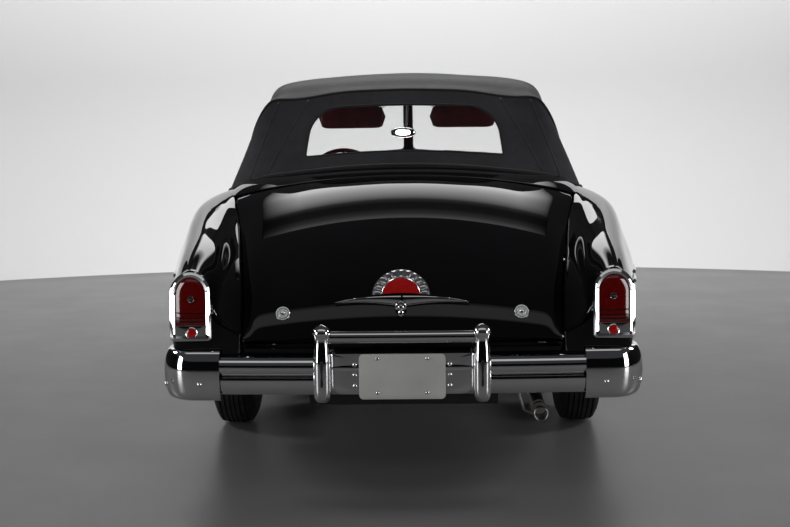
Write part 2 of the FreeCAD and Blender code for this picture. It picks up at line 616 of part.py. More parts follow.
def leaning_bar(start, end, radius):
    """A cylinder between two points; its radius follows the sheet."""
    start, end = V(*start), V(*end)
    made = doc.addObject("Part::Cylinder", "leaning_bar")
    made.setExpression("Radius", formula(radius))
    made.Height = (end - start).Length
    made.Placement = FreeCAD.Placement(start, FreeCAD.Rotation(Z_AXIS, end - start))
    return made


def ball(x, y, z, radius):
    made = doc.addObject("Part::Sphere", "ball")
    made.setExpression("Radius", formula(radius))
    for letter, at in (("x", x), ("y", y), ("z", z)):
        made.setExpression(f"Placement.Base.{letter}", formula(at))
    return made


def joined(*parts):
    made = doc.addObject("Part::MultiFuse", "joined")
    made.Shapes = list(parts)
    made.Refine = True
    return made


def less(base, *tools):
    """base with the tools taken away."""
    made = doc.addObject("Part::Cut", "less")
    made.Base = base
    made.Tool = tools[0] if len(tools) == 1 else joined(*tools)
    return made


def other_side(source):
    made = doc.addObject("Part::Mirroring", "other_side")
    made.Source = source
    made.Base, made.Normal = V(0, 0, 0), X_AXIS
    return made


def pair(source):
    """A piece of the left side together with its mirror image on the right."""
    made = doc.addObject("Part::Compound", "pair")
    made.Links = [source, other_side(source)]
    return made


def sketch_in(body, plane_role, outline):
    """A closed outline in a body's plane; every corner is held by two formulas over the sheet."""
    plane = next(plane for plane in body.Origin.OriginFeatures if plane.Role == plane_role)
    sketch = body.newObject("Sketcher::SketchObject", "outline")
    sketch.AttachmentSupport = [(plane, "")]
    sketch.MapMode = "FlatFace"
    many = len(outline)
    corners = [V(calculated(across), calculated(up), 0) for across, up in outline]
    for index in range(many):
        sketch.addGeometry(Part.LineSegment(corners[index], corners[(index + 1) % many]), False)
    for index in range(many):
        sketch.addConstraint(Sketcher.Constraint("Coincident", index, 2, (index + 1) % many, 1))
    for index, (across, up) in enumerate(outline):
        corner = corners[index]
        for kind, text, start in (("DistanceX", across, corner.x), ("DistanceY", up, corner.y)):
            held = sketch.addConstraint(Sketcher.Constraint(kind, -1, 1, index, 1, start))
            sketch.setExpression(f"Constraints[{held}]", formula(text))
    return sketch


scratch = doc.addObject("App::FeaturePython", "scratch")
scratch.addProperty("App::PropertyFloat", "result")


def calculated(text):
    """What a formula comes to, worked out by the document."""
    scratch.setExpression("result", formula(text))
    scratch.recompute()
    return scratch.result


def padded_body(name, plane_role, outline, length):
    """A body whose outline is pushed out symmetrically to both sides of a plane."""
    body = doc.addObject("PartDesign::Body", name)
    sketch = sketch_in(body, plane_role, outline)
    pad = body.newObject("PartDesign::Pad", "pad")
    pad.Profile = sketch
    pad.Midplane = True
    pad.setExpression("Length", formula(length))
    body.Tip = pad
    return body


def turned_body(name, outline):
    """A body turned about the axle: outline is (outward, radius) formulas round its section."""
    body = doc.addObject("PartDesign::Body", name)
    sketch = sketch_in(body, "XZ_Plane", outline)
    turned = body.newObject("PartDesign::Revolution", "turned")
    turned.Profile = sketch
    turned.ReferenceAxis = (sketch, ["H_Axis"])
    turned.Angle = 360
    body.Tip = turned
    return body


# ---------------------------------------------------------------- chassis
rail_outline = [
    ("-1400", "rail_nose - 10"), ("-1250", "rail_low"), ("780", "rail_low"), ("990", "rail_high"),
    ("1500", "rail_high"), ("1700", "rail_tail"), ("rail_back", "rail_tail"),
    ("rail_back", "rail_tail + 68"), ("1730", "rail_tail + 68"), ("1540", "rail_high + 74"),
    ("960", "rail_high + 74"), ("750", "rail_low + rail_depth"), ("-1190", "rail_low + rail_depth"),
    ("-1330", "rail_nose + 90"), ("rail_front", "rail_nose + 90"), ("rail_front", "rail_nose")]
left_rail = padded_body("left_rail", "YZ_Plane", rail_outline, "rail_width")
left_rail.setExpression("Placement.Base.x", formula("rail_x"))
FRAME_TIES = ((-2370, 320, 380), (-1760, "rail_low", 320), (-300, 290, "rail_low + rail_depth"),
              (700, 290, "rail_low + rail_depth"), (1560, 470, 520), (2390, 410, 460))
ties = [box("-rail_x", "rail_x", f"{y} - tie_half", f"{y} + tie_half", low, high)
        for y, low, high in FRAME_TIES]
outriggers = [box(x0, x1, y - 40, y + 40, 296, 322) for y in (-850, -200, 420)
              for x0, x1 in (("rail_x - 10", "outrigger_reach"), ("-outrigger_reach", "10 - rail_x"))]
frame = keep("frame", joined(left_rail, other_side(left_rail), *ties, *outriggers))

plates = [
    box("-floor_half", "floor_half", "firewall", "floor_back", "floor_top - floor_plate", "floor_top"),
    box("-tunnel_half", "tunnel_half", "firewall", "floor_back", "floor_top - floor_plate", "tunnel_top"),
    box("-firewall_half", "firewall_half", "firewall", "firewall + 14", "floor_top - floor_plate",
        "firewall_top"),
    box("-trunk_half", "trunk_half", "floor_back - floor_plate", "floor_back", "floor_top - floor_plate",
        "trunk_shelf"),
    box("-trunk_half", "trunk_half", "floor_back - floor_plate", "trunk_step - 10",
        "trunk_shelf - floor_plate", "trunk_shelf"),
    box("-trunk_half", "trunk_half", "trunk_step - floor_plate", "trunk_step", "trunk_floor - floor_plate",
        "trunk_shelf"),
    box("-trunk_half", "trunk_half", "trunk_step - floor_plate", "rail_back", "trunk_floor - floor_plate",
        "trunk_floor")]
tunnel_bore = box("tunnel_wall - tunnel_half", "tunnel_half - tunnel_wall", "firewall - 60", 1900, 100,
                  "tunnel_top - tunnel_wall")
spring_gap = box("spring_x - 6", "spring_x + spring_width + 6", "floor_back - 30", "floor_back + 10",
                 "spring_low - 8", "spring_low + spring_thickness + 8")
keep("floor_pan", less(joined(*plates), tunnel_bore, frame, spring_gap, other_side(spring_gap)))

engine_foot = box("engine_half - 10", "mount_reach", -1700, -1640, 340, 398)
keep("engine", joined(
    box("-engine_half", "engine_half", "engine_front", "engine_back", "engine_low", "engine_top"),
    box("-gearbox_half", "gearbox_half", "engine_back", "gearbox_back", "engine_low", "gearbox_top"),
    engine_foot, other_side(engine_foot)))
radiator_foot = box("radiator_half - 10", 400, "radiator_front + 10", "radiator_front + 60", 402, 440)
keep("radiator", joined(
    box("-radiator_half", "radiator_half", "radiator_front", "radiator_front + radiator_depth",
        "radiator_low", "radiator_top"),
    radiator_foot, other_side(radiator_foot)))

# The axles stand at these places, as formulas.
FRONT_Y = "front_overhang - overall_length / 2"
REAR_Y = "front_overhang - overall_length / 2 + wheelbase"
rear_reach = "track_rear / 2"
spring = box("spring_x", "spring_x + spring_width", f"{REAR_Y} - spring_half", f"{REAR_Y} + spring_half",
             "spring_low", "spring_low + spring_thickness")
hanger = box("arm_x", "spring_x + 20", f"{REAR_Y} + spring_half - 20", f"{REAR_Y} + spring_half",
             "spring_low", "spring_low + 40")
front_eye = box("arm_x", "spring_x + 20", f"{REAR_Y} - spring_half", f"{REAR_Y} - spring_half + 20",
                "spring_low", "spring_low + spring_thickness")
seat_pad = box("spring_x", "spring_x + spring_width", f"{REAR_Y} - 50", f"{REAR_Y} + 50",
               "spring_low - 20", "spring_low + 4")
back_plate = round_bar("x", f"{rear_reach} - 105", REAR_Y, "axle_height", 20, "brake_radius")
left_half = joined(spring, hanger, front_eye, seat_pad, back_plate)
axle = round_bar("x", f"-({rear_reach}) - 20", REAR_Y, "axle_height", "track_rear + 40", "stub_radius")
tube = round_bar("x", f"90 - {rear_reach}", REAR_Y, "axle_height", "track_rear - 180", "axle_tube")
gears = ball(0, REAR_Y, "axle_height", "axle_gears")
shaft = leaning_bar((0, dim("shaft_front"), 400), (0, REAR_AXLE - 110, AXLE_Z + 6), "shaft_radius")
whole_axle = joined(axle, tube, gears, shaft, left_half, other_side(left_half))
keep("rear_axle", less(whole_axle, frame))


def wishbone(name, back, half_foot, half_tip, low, depth):
    """A flat arm from the frame out to the kingpin."""
    corners = [(back, f"{FRONT_Y} - {half_foot}"), (back, f"{FRONT_Y} + {half_foot}"),
               ("kingpin_x", f"{FRONT_Y} + {half_tip}"), ("kingpin_x", f"{FRONT_Y} - {half_tip}")]
    body = padded_body(name, "XY_Plane", corners, depth)
    body.setExpression("Placement.Base.z", formula(f"{low} + {depth} / 2"))
    return body


low_arm = wishbone("low_arm", "arm_x", 180, 34, "low_arm", "low_arm_depth")
high_arm = wishbone("high_arm", "arm_x + 8", 100, 28, "high_arm", "high_arm_depth")
tower = box("arm_x", "arm_x + 30", f"{FRONT_Y} - 150", f"{FRONT_Y} + 150", "rail_low", 470)
coil = round_bar("z", "coil_x", FRONT_Y, "low_arm + low_arm_depth", "high_arm - low_arm - low_arm_depth",
                 "coil_radius")
eyes = [round_bar("z", "kingpin_x", FRONT_Y, low, depth, "eye_radius")
        for low, depth in (("low_arm", "low_arm_depth"), ("high_arm", "high_arm_depth"))]
pin_hole = round_bar("z", "kingpin_x", FRONT_Y, 200, 300, "kingpin_radius + 0.06")
left_arms = less(joined(low_arm, high_arm, tower, coil, *eyes), pin_hole)
keep("front_suspension", less(pair(left_arms), frame))

front_reach = "track_front / 2"
knuckle = joined(
    round_bar("z", "kingpin_x", FRONT_Y, 230, 254, "kingpin_radius"),
    round_bar("z", "kingpin_x", FRONT_Y, "low_arm + low_arm_depth + 0.4",
              "high_arm - low_arm - low_arm_depth - 0.8", "upright_radius"),
    round_bar("x", "kingpin_x", FRONT_Y, "axle_height", f"{front_reach} + 20 - kingpin_x", "stub_radius"),
    round_bar("x", f"{front_reach} - 82", FRONT_Y, "axle_height", 16, "brake_front"))
keep("knuckle_left", knuckle)
keep("knuckle_right", other_side(knuckle))

# ---------------------------------------------------------------- wheels
TYRE_SECTION = (
    ("24 - tyre_width / 2", "rim_radius"), ("8 - tyre_width / 2", "rim_radius + 22"),
    ("-tyre_width / 2", "(tyre_radius + rim_radius) / 2"),
    ("8 - tyre_width / 2", "tyre_radius - tyre_shoulder"),
    ("30 - tyre_width / 2", "tyre_radius - tyre_crown"), ("0", "tyre_radius"),
    ("tyre_width / 2 - 30", "tyre_radius - tyre_crown"),
    ("tyre_width / 2 - 8", "tyre_radius - tyre_shoulder"),
    ("tyre_width / 2", "(tyre_radius + rim_radius) / 2"), ("tyre_width / 2 - 8", "rim_radius + 22"),
    ("tyre_width / 2 - 24", "rim_radius"))
# The wheel's section: hub, dish, rim and the shallow dome of its hub cap, in one outline.
WHEEL_SECTION = (
    ("-60", "hub_bore"), ("-60", "hub_radius"), ("22", "hub_radius"), ("22", "rim_radius - rim_thickness"),
    ("-rim_width / 2", "rim_radius - rim_thickness"), ("-rim_width / 2", "rim_radius"),
    ("rim_width / 2", "rim_radius"), ("rim_width / 2", "rim_radius - rim_thickness"),
    ("34", "rim_radius - rim_thickness"), ("34", "cap_radius"), ("44", "cap_radius"),
    ("62", "cap_radius - 40"), ("cap_depth + 30", "60"), ("cap_depth + 34", "0"), ("34", "0"),
    ("34", "hub_bore"))
for end, reach, y in (("front", front_reach, FRONT_Y), ("rear", rear_reach, REAR_Y)):
    for side, sign in SIDES:
        for kind, section in (("tyre", TYRE_SECTION), ("wheel", WHEEL_SECTION)):
            body = turned_body(f"{kind}_{end}_{side}", section)
            body.Placement.Rotation = FreeCAD.Rotation(Z_AXIS, 0 if sign == LEFT else 180)
            body.setExpression("Placement.Base.x", formula(f"{sign} * {reach}"))
            body.setExpression("Placement.Base.y", formula(y))
            body.setExpression("Placement.Base.z", formula("axle_height"))
            keep(body.Name, body)

# ---------------------------------------------------------------- exhaust and tank
pipe_start = (dim("exhaust_x"), 900, dim("exhaust_z"))
pipe_end = (dim("pipe_x"), 1900, dim("pipe_z"))
exhaust_line = joined(
    round_bar("y", "exhaust_x", -1400, "exhaust_z", 1600, "pipe_radius"),
    ball("exhaust_x", 200, "exhaust_z", "pipe_radius"),
    round_bar("y", "exhaust_x", "muffler_front", "exhaust_z", "muffler_back - muffler_front",
              "muffler_radius"),
    round_bar("y", "exhaust_x", "muffler_back", "exhaust_z", "900 - muffler_back", "pipe_radius"),
    leaning_bar(pipe_start, pipe_end, "pipe_radius"),
    round_bar("y", "pipe_x", 1900, "pipe_z", "tip_back - 20 - 1900", "pipe_radius"),
    round_bar("y", "pipe_x", "tip_front", "pipe_z", "tip_back - tip_front", "tip_radius"))
keep("exhaust", less(exhaust_line, frame))
keep("fuel_tank", box("-tank_half", "tank_half", "tank_front", "tank_back", "tank_low", "tank_top"))

# ---------------------------------------------------------------- cabin
def bench_back(name, foot, seat_top, top, lean_front, lean_back, half):
    """The backrest of a bench seen from the side, leaning rearwards: foot is the cushion's rear edge."""
    corners = [(f"{foot} - 10", f"{seat_top} - bench_depth"), (f"{foot} + 90", f"{seat_top} - bench_depth"),
               (lean_back, top), (lean_front, top), (f"{foot} - 60", f"{seat_top} - 20")]
    return padded_body(name, "YZ_Plane", corners, f"2 * {half}")


front_cushion = box("-bench_half", "bench_half", "bench_front", "bench_back", "bench_top - bench_depth",
                    "bench_top")
front_back = bench_back("front_back", "bench_back", "bench_top", 1010, 250, 370, "bench_half")
front_base = less(box(-600, 600, -220, 200, "floor_top", 500), box(-180, 180, -400, 400, 300, 560))
over_tunnel = box(-166, 166, -600, 600, 300, "tunnel_top + 1")
keep("front_seat", less(joined(front_cushion, front_back, front_base), over_tunnel))
rear_cushion = box(-600, 600, 560, 1000, "700 - bench_depth", 700)
rear_back = bench_back("rear_back", 1000, 700, 1090, 1010, 1130, 600)
over_step = box(-640, 640, 855, 2000, 300, "trunk_shelf + 1")
keep("rear_seat", less(joined(rear_cushion, rear_back), over_step))

DASH_SECTION = [("-1030", "800"), ("-1030", "1010"), ("-760", "1010"), ("-720", "960"), ("-720", "800")]
dash_block = padded_body("dash_block", "YZ_Plane", DASH_SECTION, 1280)
COLUMN_FOOT, COLUMN_HEAD = (dim("column_x"), -1122, 705), (dim("column_x"), -480, 934)
column_hole = leaning_bar(COLUMN_FOOT, COLUMN_HEAD, "column_radius + 2")
keep("dashboard", less(dash_block, NODES["cowl"], column_hole))
keep("column", leaning_bar(COLUMN_FOOT, COLUMN_HEAD, "column_radius"))

ring = doc.addObject("Part::Torus", "ring")
ring.setExpression("Radius1", formula("wheel_ring"))
ring.setExpression("Radius2", formula("wheel_grip"))
ring.Placement.Base = V(0, 0, 26)
wheel_hub = round_bar("z", 0, 0, 0, 36, "wheel_hub")
spokes = [leaning_bar((0, 0, 20), (212 * math.cos(turn), 212 * math.sin(turn), 26), "wheel_grip - 3")
          for turn in (0, math.pi, -math.pi / 2)]
steering_wheel = keep("steering_wheel", joined(ring, wheel_hub, *spokes))
steering_wheel.Placement = FreeCAD.Placement(V(dim("column_x"), -468, 938.3),
                                             FreeCAD.Rotation(Z_AXIS, V(0, 656, 234)))

doc.recompute()
for made in doc.Objects:
    if {"Invalid", "Error"} & set(made.State):
        raise RuntimeError(f"{made.Label}: {made.State}")
for name, made in NODES.items():
    shape = made.Shape
    if shape.isNull() or not shape.isValid():
        raise RuntimeError(f"{name} is not a valid shape")
    print(name, len(shape.Solids), round(shape.Volume / 1e6, 2))
os.makedirs("parts", exist_ok=True)
for name, made in NODES.items():
    made.Shape.exportStep(f"parts/{name}.step")
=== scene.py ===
# %% [markdown]
# # A 1950s convertible, soft top up
# The car's solids come packed as a fixed frame: every body, hinge and wheel already has its place. This
# lesson dresses that frame, panel by panel, with smooth sheet metal, chrome, cloth, glass and rubber.
# The frame is never moved. Where a plain solid is not good enough to look at, a better piece stands for it
# and rides on the same body.

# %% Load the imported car
from math import atan2, copysign, cos, exp, hypot, pi, radians, sin, sqrt, tan
import bpy
import bmesh
from mathutils import Matrix, Vector, noise
from mathutils.bvhtree import BVHTree


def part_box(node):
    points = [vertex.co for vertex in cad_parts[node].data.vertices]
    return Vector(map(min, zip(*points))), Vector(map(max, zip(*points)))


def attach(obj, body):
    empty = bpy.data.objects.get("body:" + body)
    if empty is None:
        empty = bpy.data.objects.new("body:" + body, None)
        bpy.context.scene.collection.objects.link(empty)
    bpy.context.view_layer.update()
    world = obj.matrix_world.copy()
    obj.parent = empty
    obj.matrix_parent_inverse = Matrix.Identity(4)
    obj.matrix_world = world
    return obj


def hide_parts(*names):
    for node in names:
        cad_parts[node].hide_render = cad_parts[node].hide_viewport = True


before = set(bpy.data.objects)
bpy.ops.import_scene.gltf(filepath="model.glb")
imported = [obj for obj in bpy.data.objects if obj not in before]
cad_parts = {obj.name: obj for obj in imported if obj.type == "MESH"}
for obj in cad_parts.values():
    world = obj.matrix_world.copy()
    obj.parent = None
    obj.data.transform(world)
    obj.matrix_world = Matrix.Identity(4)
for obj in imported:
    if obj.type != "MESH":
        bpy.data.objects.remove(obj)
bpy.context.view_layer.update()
UP, BACK, FORE, INWARD = (Vector(way) for way in ((0, 0, 1), (0, 1, 0), (0, -1, 0), (-1, 0, 0)))

# %% [markdown]
# ## Small tools for making pieces
# A car is mostly skins: thin sheets with a smooth shape, cut along clean lines, with their edges turned in.
# So the tools below make a sheet from rows of points, cut it with a rule, turn its edges, and thicken it.
# Everything is worked out at its place in the car, in metres, so that no object is ever moved.

# %% Tools: objects and mirror images
CAR = bpy.data.collections.new("convertible")
bpy.context.scene.collection.children.link(CAR)


def piece(name, bm, material, smooth=True, angle=None):
    """A finished mesh object from bm, shaded smooth, with its material."""
    mesh = bpy.data.meshes.new(name)
    bm.to_mesh(mesh)
    bm.free()
    made = bpy.data.objects.new(name, mesh)
    CAR.objects.link(made)
    mesh.materials.append(material)
    mesh.polygons.foreach_set("use_smooth", [smooth] * len(mesh.polygons))
    if angle is not None:
        mesh.set_sharp_from_angle(angle=radians(angle))
    return made


def mirror_copy(bm):
    """The same mesh on the other side of the car, with its faces still pointing outwards."""
    other = bm.copy()
    for vert in other.verts:
        vert.co.x = -vert.co.x
    bmesh.ops.reverse_faces(other, faces=other.faces)
    return other


def merge_into(bm, other):
    """Adds a copy of other to bm and frees other."""
    mesh = bpy.data.meshes.new("merge")
    other.to_mesh(mesh)
    bm.from_mesh(mesh)
    bpy.data.meshes.remove(mesh)
    other.free()
    return bm


def outward(bm):
    bmesh.ops.remove_doubles(bm, verts=bm.verts, dist=1e-5)
    bmesh.ops.recalc_face_normals(bm, faces=bm.faces)
    return bm


def outward_to(bm, way):
    """Turns an open sheet's faces so that on the whole they look along way."""
    bm.normal_update()
    if sum((face.normal * face.calc_area() for face in bm.faces), Vector()).dot(way) < 0:
        bmesh.ops.reverse_faces(bm, faces=bm.faces)
    return bm

# %% Tools: closing a form, even steps and joining
def closed_up(bm, ends=True):
    """Welds a form's seams, fills its open ends, and turns its faces outwards."""
    bmesh.ops.remove_doubles(bm, verts=bm.verts, dist=1e-6)
    if ends:
        bmesh.ops.holes_fill(bm, edges=[edge for edge in bm.edges if edge.is_boundary])
    return outward(bm)


def mirrored(half):
    """A line from the left edge to the middle, run on to the right edge."""
    return half + [Vector((-p.x, p.y, p.z)) for p in reversed(half[:-1])]


def spread(low, high, many):
    """Evenly spaced values from low to high, many steps apart."""
    return [low + (high - low) * k / many for k in range(many + 1)]


def length_of(line):
    return sum((b - a).length for a, b in zip(line, line[1:]))


def degrees(start, stop, many):
    """Evenly spaced angles, given in degrees and returned in radians."""
    return [radians(a) for a in spread(start, stop, many)]


def halved(low, high, goes_on, times=24):
    """The place between low and high up to which goes_on holds, found by halving."""
    for _ in range(times):
        mid = (low + high) / 2
        low, high = (mid, high) if goes_on(mid) else (low, mid)
    return low


def moved(bm, x=0.0, y=0.0, z=0.0):
    bmesh.ops.translate(bm, verts=bm.verts, vec=(x, y, z))
    return bm


def joined(first, *others):
    """Several forms as one."""
    for other in others:
        merge_into(first, other)
    return first

# %% Tools: a smooth line through known points
class Line:
    """A natural cubic through (station, value) pairs: its bend never jumps, so gloss runs clean."""

    def __init__(self, stations, values):
        n = len(stations)
        self.s, self.v = list(stations), list(values)
        h = [b - a for a, b in zip(self.s, self.s[1:])]
        diag, right = [1.0] * n, [0.0] * n
        upper = [0.0] * n
        for i in range(1, n - 1):
            rise = (self.v[i + 1] - self.v[i]) / h[i] - (self.v[i] - self.v[i - 1]) / h[i - 1]
            diag[i] = 2 * (h[i - 1] + h[i]) - h[i - 1] * upper[i - 1]
            upper[i] = h[i] / diag[i]
            right[i] = (6 * rise - h[i - 1] * right[i - 1]) / diag[i]
        bend = [0.0] * n
        for i in range(n - 2, 0, -1):
            bend[i] = right[i] - upper[i] * bend[i + 1]
        self.h, self.bend = h, bend

    def at(self, s):
        low, high = 0, len(self.s) - 1
        while high - low > 1:
            mid = (low + high) // 2
            low, high = (mid, high) if s >= self.s[mid] else (low, mid)
        h = self.h[low]
        a, b = (self.s[low + 1] - s) / h, (s - self.s[low]) / h
        curve = ((a**3 - a) * self.bend[low] + (b**3 - b) * self.bend[low + 1]) * h * h / 6
        return a * self.v[low] + b * self.v[low + 1] + curve


def through(points, counts):
    """Points along a smooth line through the given ones, counts[i] steps on each stretch."""
    marks = [0.0]
    for a, b in zip(points, points[1:]):
        marks.append(marks[-1] + (b - a).length)
    lines = [Line(marks, [p[k] for p in points]) for k in range(3)]
    made = []
    for low, high, count in zip(marks, marks[1:], counts):
        made += [Vector(line.at(low + (high - low) * i / count) for line in lines) for i in range(count)]
    return made + [Vector(line.at(marks[-1]) for line in lines)]

# %% Tools: sheets from rows of points
def sheet_of(rows, closed=False, flip=False):
    """A grid of four-sided faces through rows of points; closed joins the last row to the first."""
    bm = bmesh.new()
    verts = [[bm.verts.new(p) for p in row] for row in rows]
    if closed:
        verts.append(verts[0])
    for low, high in zip(verts, verts[1:]):
        for i in range(len(low) - 1):
            corners = (low[i], low[i + 1], high[i + 1], high[i])
            bm.faces.new(corners if not flip else corners[::-1])
    return bm


def cut_by(bm, rule):
    """Keeps the part of a sheet where rule(point) is positive, with its new edge exactly on zero."""
    value = {vert: rule(vert.co) for vert in bm.verts}
    for edge in list(bm.edges):
        a, b = edge.verts
        if value[a] * value[b] >= 0 or min(abs(value[a]), abs(value[b])) < 1e-7:
            continue
        low, high = 0.0, 1.0
        for _ in range(18):
            mid = (low + high) / 2
            if (rule(a.co.lerp(b.co, mid)) > 0) == (value[a] > 0):
                low = mid
            else:
                high = mid
        _, vert = bmesh.utils.edge_split(edge, a, (low + high) / 2)
        value[vert] = 0.0
    for face in list(bm.faces):
        on_line = [vert for vert in face.verts if value[vert] == 0.0]
        signs = [value[vert] for vert in face.verts]
        if len(on_line) == 2 and min(signs) < 0 < max(signs):
            bmesh.utils.face_split(face, on_line[0], on_line[1])
    gone = [face for face in bm.faces if sum(value[vert] for vert in face.verts) < 0]
    bmesh.ops.delete(bm, geom=gone, context="FACES")
    short = [edge for edge in bm.edges if edge.calc_length() < 2e-4]
    bmesh.ops.collapse(bm, edges=short)
    return bm

# %% Tools: turned edges and thickness
def turn_edges(bm, radius=0.002, depth=0.012, rings=3):
    """Turns the open edges of a sheet inwards round a small radius, as a press folds a flange."""
    bm.normal_update()
    rim = [edge for edge in bm.edges if edge.is_boundary]
    out = {}
    for edge in rim:
        face = edge.link_faces[0]
        along = edge.verts[1].co - edge.verts[0].co
        away = along.cross(face.normal)
        if away.dot(edge.verts[0].co - face.calc_center_median()) < 0:
            away.negate()
        for vert in edge.verts:
            out.setdefault(vert, Vector()).__iadd__(away.normalized())
    start = {vert: (vert.co.copy(), vert.normal.copy(), away.normalized()) for vert, away in out.items()}
    steps = [(radius * sin(a), radius * (1 - cos(a)))
             for a in (pi / 2 * k / rings for k in range(1, rings + 1))] + [(radius, radius + depth)]
    ring = {vert: vert for vert in start}
    edges = [tuple(edge.verts) for edge in rim]
    faces = {pair: edge.link_faces[0] for pair, edge in zip(edges, rim)}
    for side, down in steps:
        new = {vert: bm.verts.new(co + away * side - normal * down)
               for vert, (co, normal, away) in start.items()}
        for pair in edges:
            a, b = pair
            loop = [ring[a], ring[b], new[b], new[a]]
            order = list(faces[pair].verts)
            if order[(order.index(a) + 1) % len(order)] == b:
                loop.reverse()
            bm.faces.new(loop)
        ring = new
    return bm


def thicken(made, thickness, offset=-1.0):
    """Gives a sheet its metal or cloth thickness, inwards unless offset says otherwise."""
    solid = made.modifiers.new("thickness", "SOLIDIFY")
    solid.thickness, solid.offset = thickness, offset
    solid.use_even_offset = True
    return apply_all(made)


def apply_all(made):
    """The object with its modifiers worked into its mesh."""
    mesh = bpy.data.meshes.new_from_object(made.evaluated_get(bpy.context.evaluated_depsgraph_get()))
    old, name = made.data, made.data.name
    made.modifiers.clear()
    made.data = mesh
    bpy.data.meshes.remove(old)
    mesh.name = name
    return made

# %% [markdown]
# ## The camera, the floor and the light
# The car is looked at from behind, a little above its bumper, with a portrait lens some five metres away.
# The camera comes first, so that every piece can be judged in the same view.

# %% Camera
lens = bpy.data.cameras.new("view")
lens.sensor_width, lens.lens = 36.0, 66.1
camera = bpy.data.objects.new("view", lens)
bpy.context.scene.collection.objects.link(camera)
camera.location = (-0.0767, 7.737, 1.502)
look = Vector((0.01905, -1.0, -tan(radians(6.93))))
camera.rotation_euler = look.to_track_quat("-Z", "Y").to_euler()
camera.rotation_euler.rotate_axis("Z", radians(-0.67))
bpy.context.scene.camera = camera
print("camera at", tuple(round(c, 2) for c in camera.location))

# %% [markdown]
# ## Finishes
# Each finish is a small node tree that reads Object coordinates, so its grain stays fixed to the car.
# A helper starts each one with noise at a stated scale in millimetres.

# %% Tools: node trees
class Finish:
    """A material under construction: nodes are made and wired by short calls."""

    def __init__(self, name):
        self.material = bpy.data.materials.new(name)
        self.material.use_nodes = True
        self.tree = self.material.node_tree
        self.shader = self.tree.nodes["Principled BSDF"]
        self.place = self.node("ShaderNodeTexCoord").outputs["Object"]

    def node(self, kind, **values):
        made = self.tree.nodes.new(kind)
        for key, value in values.items():
            setattr(made, key, value)
        return made

    def wire(self, source, target):
        self.tree.links.new(source, target)

    def set(self, **values):
        for key, value in values.items():
            self.shader.inputs[key.replace("_", " ")].default_value = value
        return self

    def noise(self, grain_mm, detail=3.0, rough=0.5, at=None, stretch=None):
        made = self.node("ShaderNodeTexNoise")
        made.inputs["Scale"].default_value = 1000.0 / grain_mm
        made.inputs["Detail"].default_value = detail
        made.inputs["Roughness"].default_value = rough
        source = at or self.place
        if stretch:
            mapping = self.node("ShaderNodeMapping")
            mapping.inputs["Scale"].default_value = stretch
            self.wire(source, mapping.inputs["Vector"])
            source = mapping.outputs["Vector"]
        self.wire(source, made.inputs["Vector"])
        return made.outputs["Fac"]

    def ramp(self, source, low, high, start=0.3, stop=0.7):
        """A value or a colour that runs from low to high while source runs from start to stop."""
        made = self.node("ShaderNodeMapRange" if not hasattr(low, "__len__") else "ShaderNodeValToRGB")
        if hasattr(low, "__len__"):
            for stop_at, colour, element in ((start, low, 0), (stop, high, 1)):
                made.color_ramp.elements[element].position = stop_at
                made.color_ramp.elements[element].color = (*colour, 1)
            self.wire(source, made.inputs["Fac"])
            return made.outputs["Color"]
        for key, value in (("From Min", start), ("From Max", stop), ("To Min", low), ("To Max", high)):
            made.inputs[key].default_value = value
        self.wire(source, made.inputs["Value"])
        return made.outputs["Result"]

    def maths(self, operation, a, b=None):
        made = self.node("ShaderNodeMath", operation=operation)
        for socket, value in zip(made.inputs, (a, b)):
            if value is None:
                continue
            if hasattr(value, "node"):
                self.wire(value, socket)
            else:
                socket.default_value = value
        return made.outputs[0]

    def bump(self, height, depth_mm, strength=1.0, after=None):
        made = self.node("ShaderNodeBump")
        made.inputs["Distance"].default_value = depth_mm / 1000.0
        made.inputs["Strength"].default_value = strength
        self.wire(height, made.inputs["Height"])
        if after is not None:
            self.wire(after, made.inputs["Normal"])
        self.wire(made.outputs["Normal"], self.shader.inputs["Normal"])
        return made.outputs["Normal"]

    def feed(self, socket, source):
        self.wire(source, self.shader.inputs[socket])
        return self

    def one_sided(self):
        """Clear from behind, so that a camera may stand outside the studio's wall."""
        behind = self.node("ShaderNodeNewGeometry").outputs["Backfacing"]
        mixed = self.node("ShaderNodeMixShader")
        self.wire(behind, mixed.inputs["Fac"])
        self.wire(self.shader.outputs["BSDF"], mixed.inputs[1])
        self.wire(self.node("ShaderNodeBsdfTransparent").outputs["BSDF"], mixed.inputs[2])
        self.wire(mixed.outputs["Shader"], self.tree.nodes["Material Output"].inputs["Surface"])
        return self

# %% [markdown]
# ## A plain studio
# Black enamel and chrome show nothing but what stands round them. A pale paper wall curves round the nose
# of the car and turns to dark paper beside it, so that the tail stays black. A glowing card over the nose
# draws the double pale band on the deck lid, and a fainter one hangs over the tail. Two soft panels stand
# at each side, and two more light the pale wall alone: they are kept out of every reflection.

# %% Studio room and lamps
STUDIO_PAPERS = (("pale_wall_paper", (0.7, 0.7, 0.7), 0.8), ("grey_floor_paper", (0.19, 0.19, 0.192), 0.3),
                 ("dark_wall_paper", (0.016, 0.016, 0.017), 0.8))


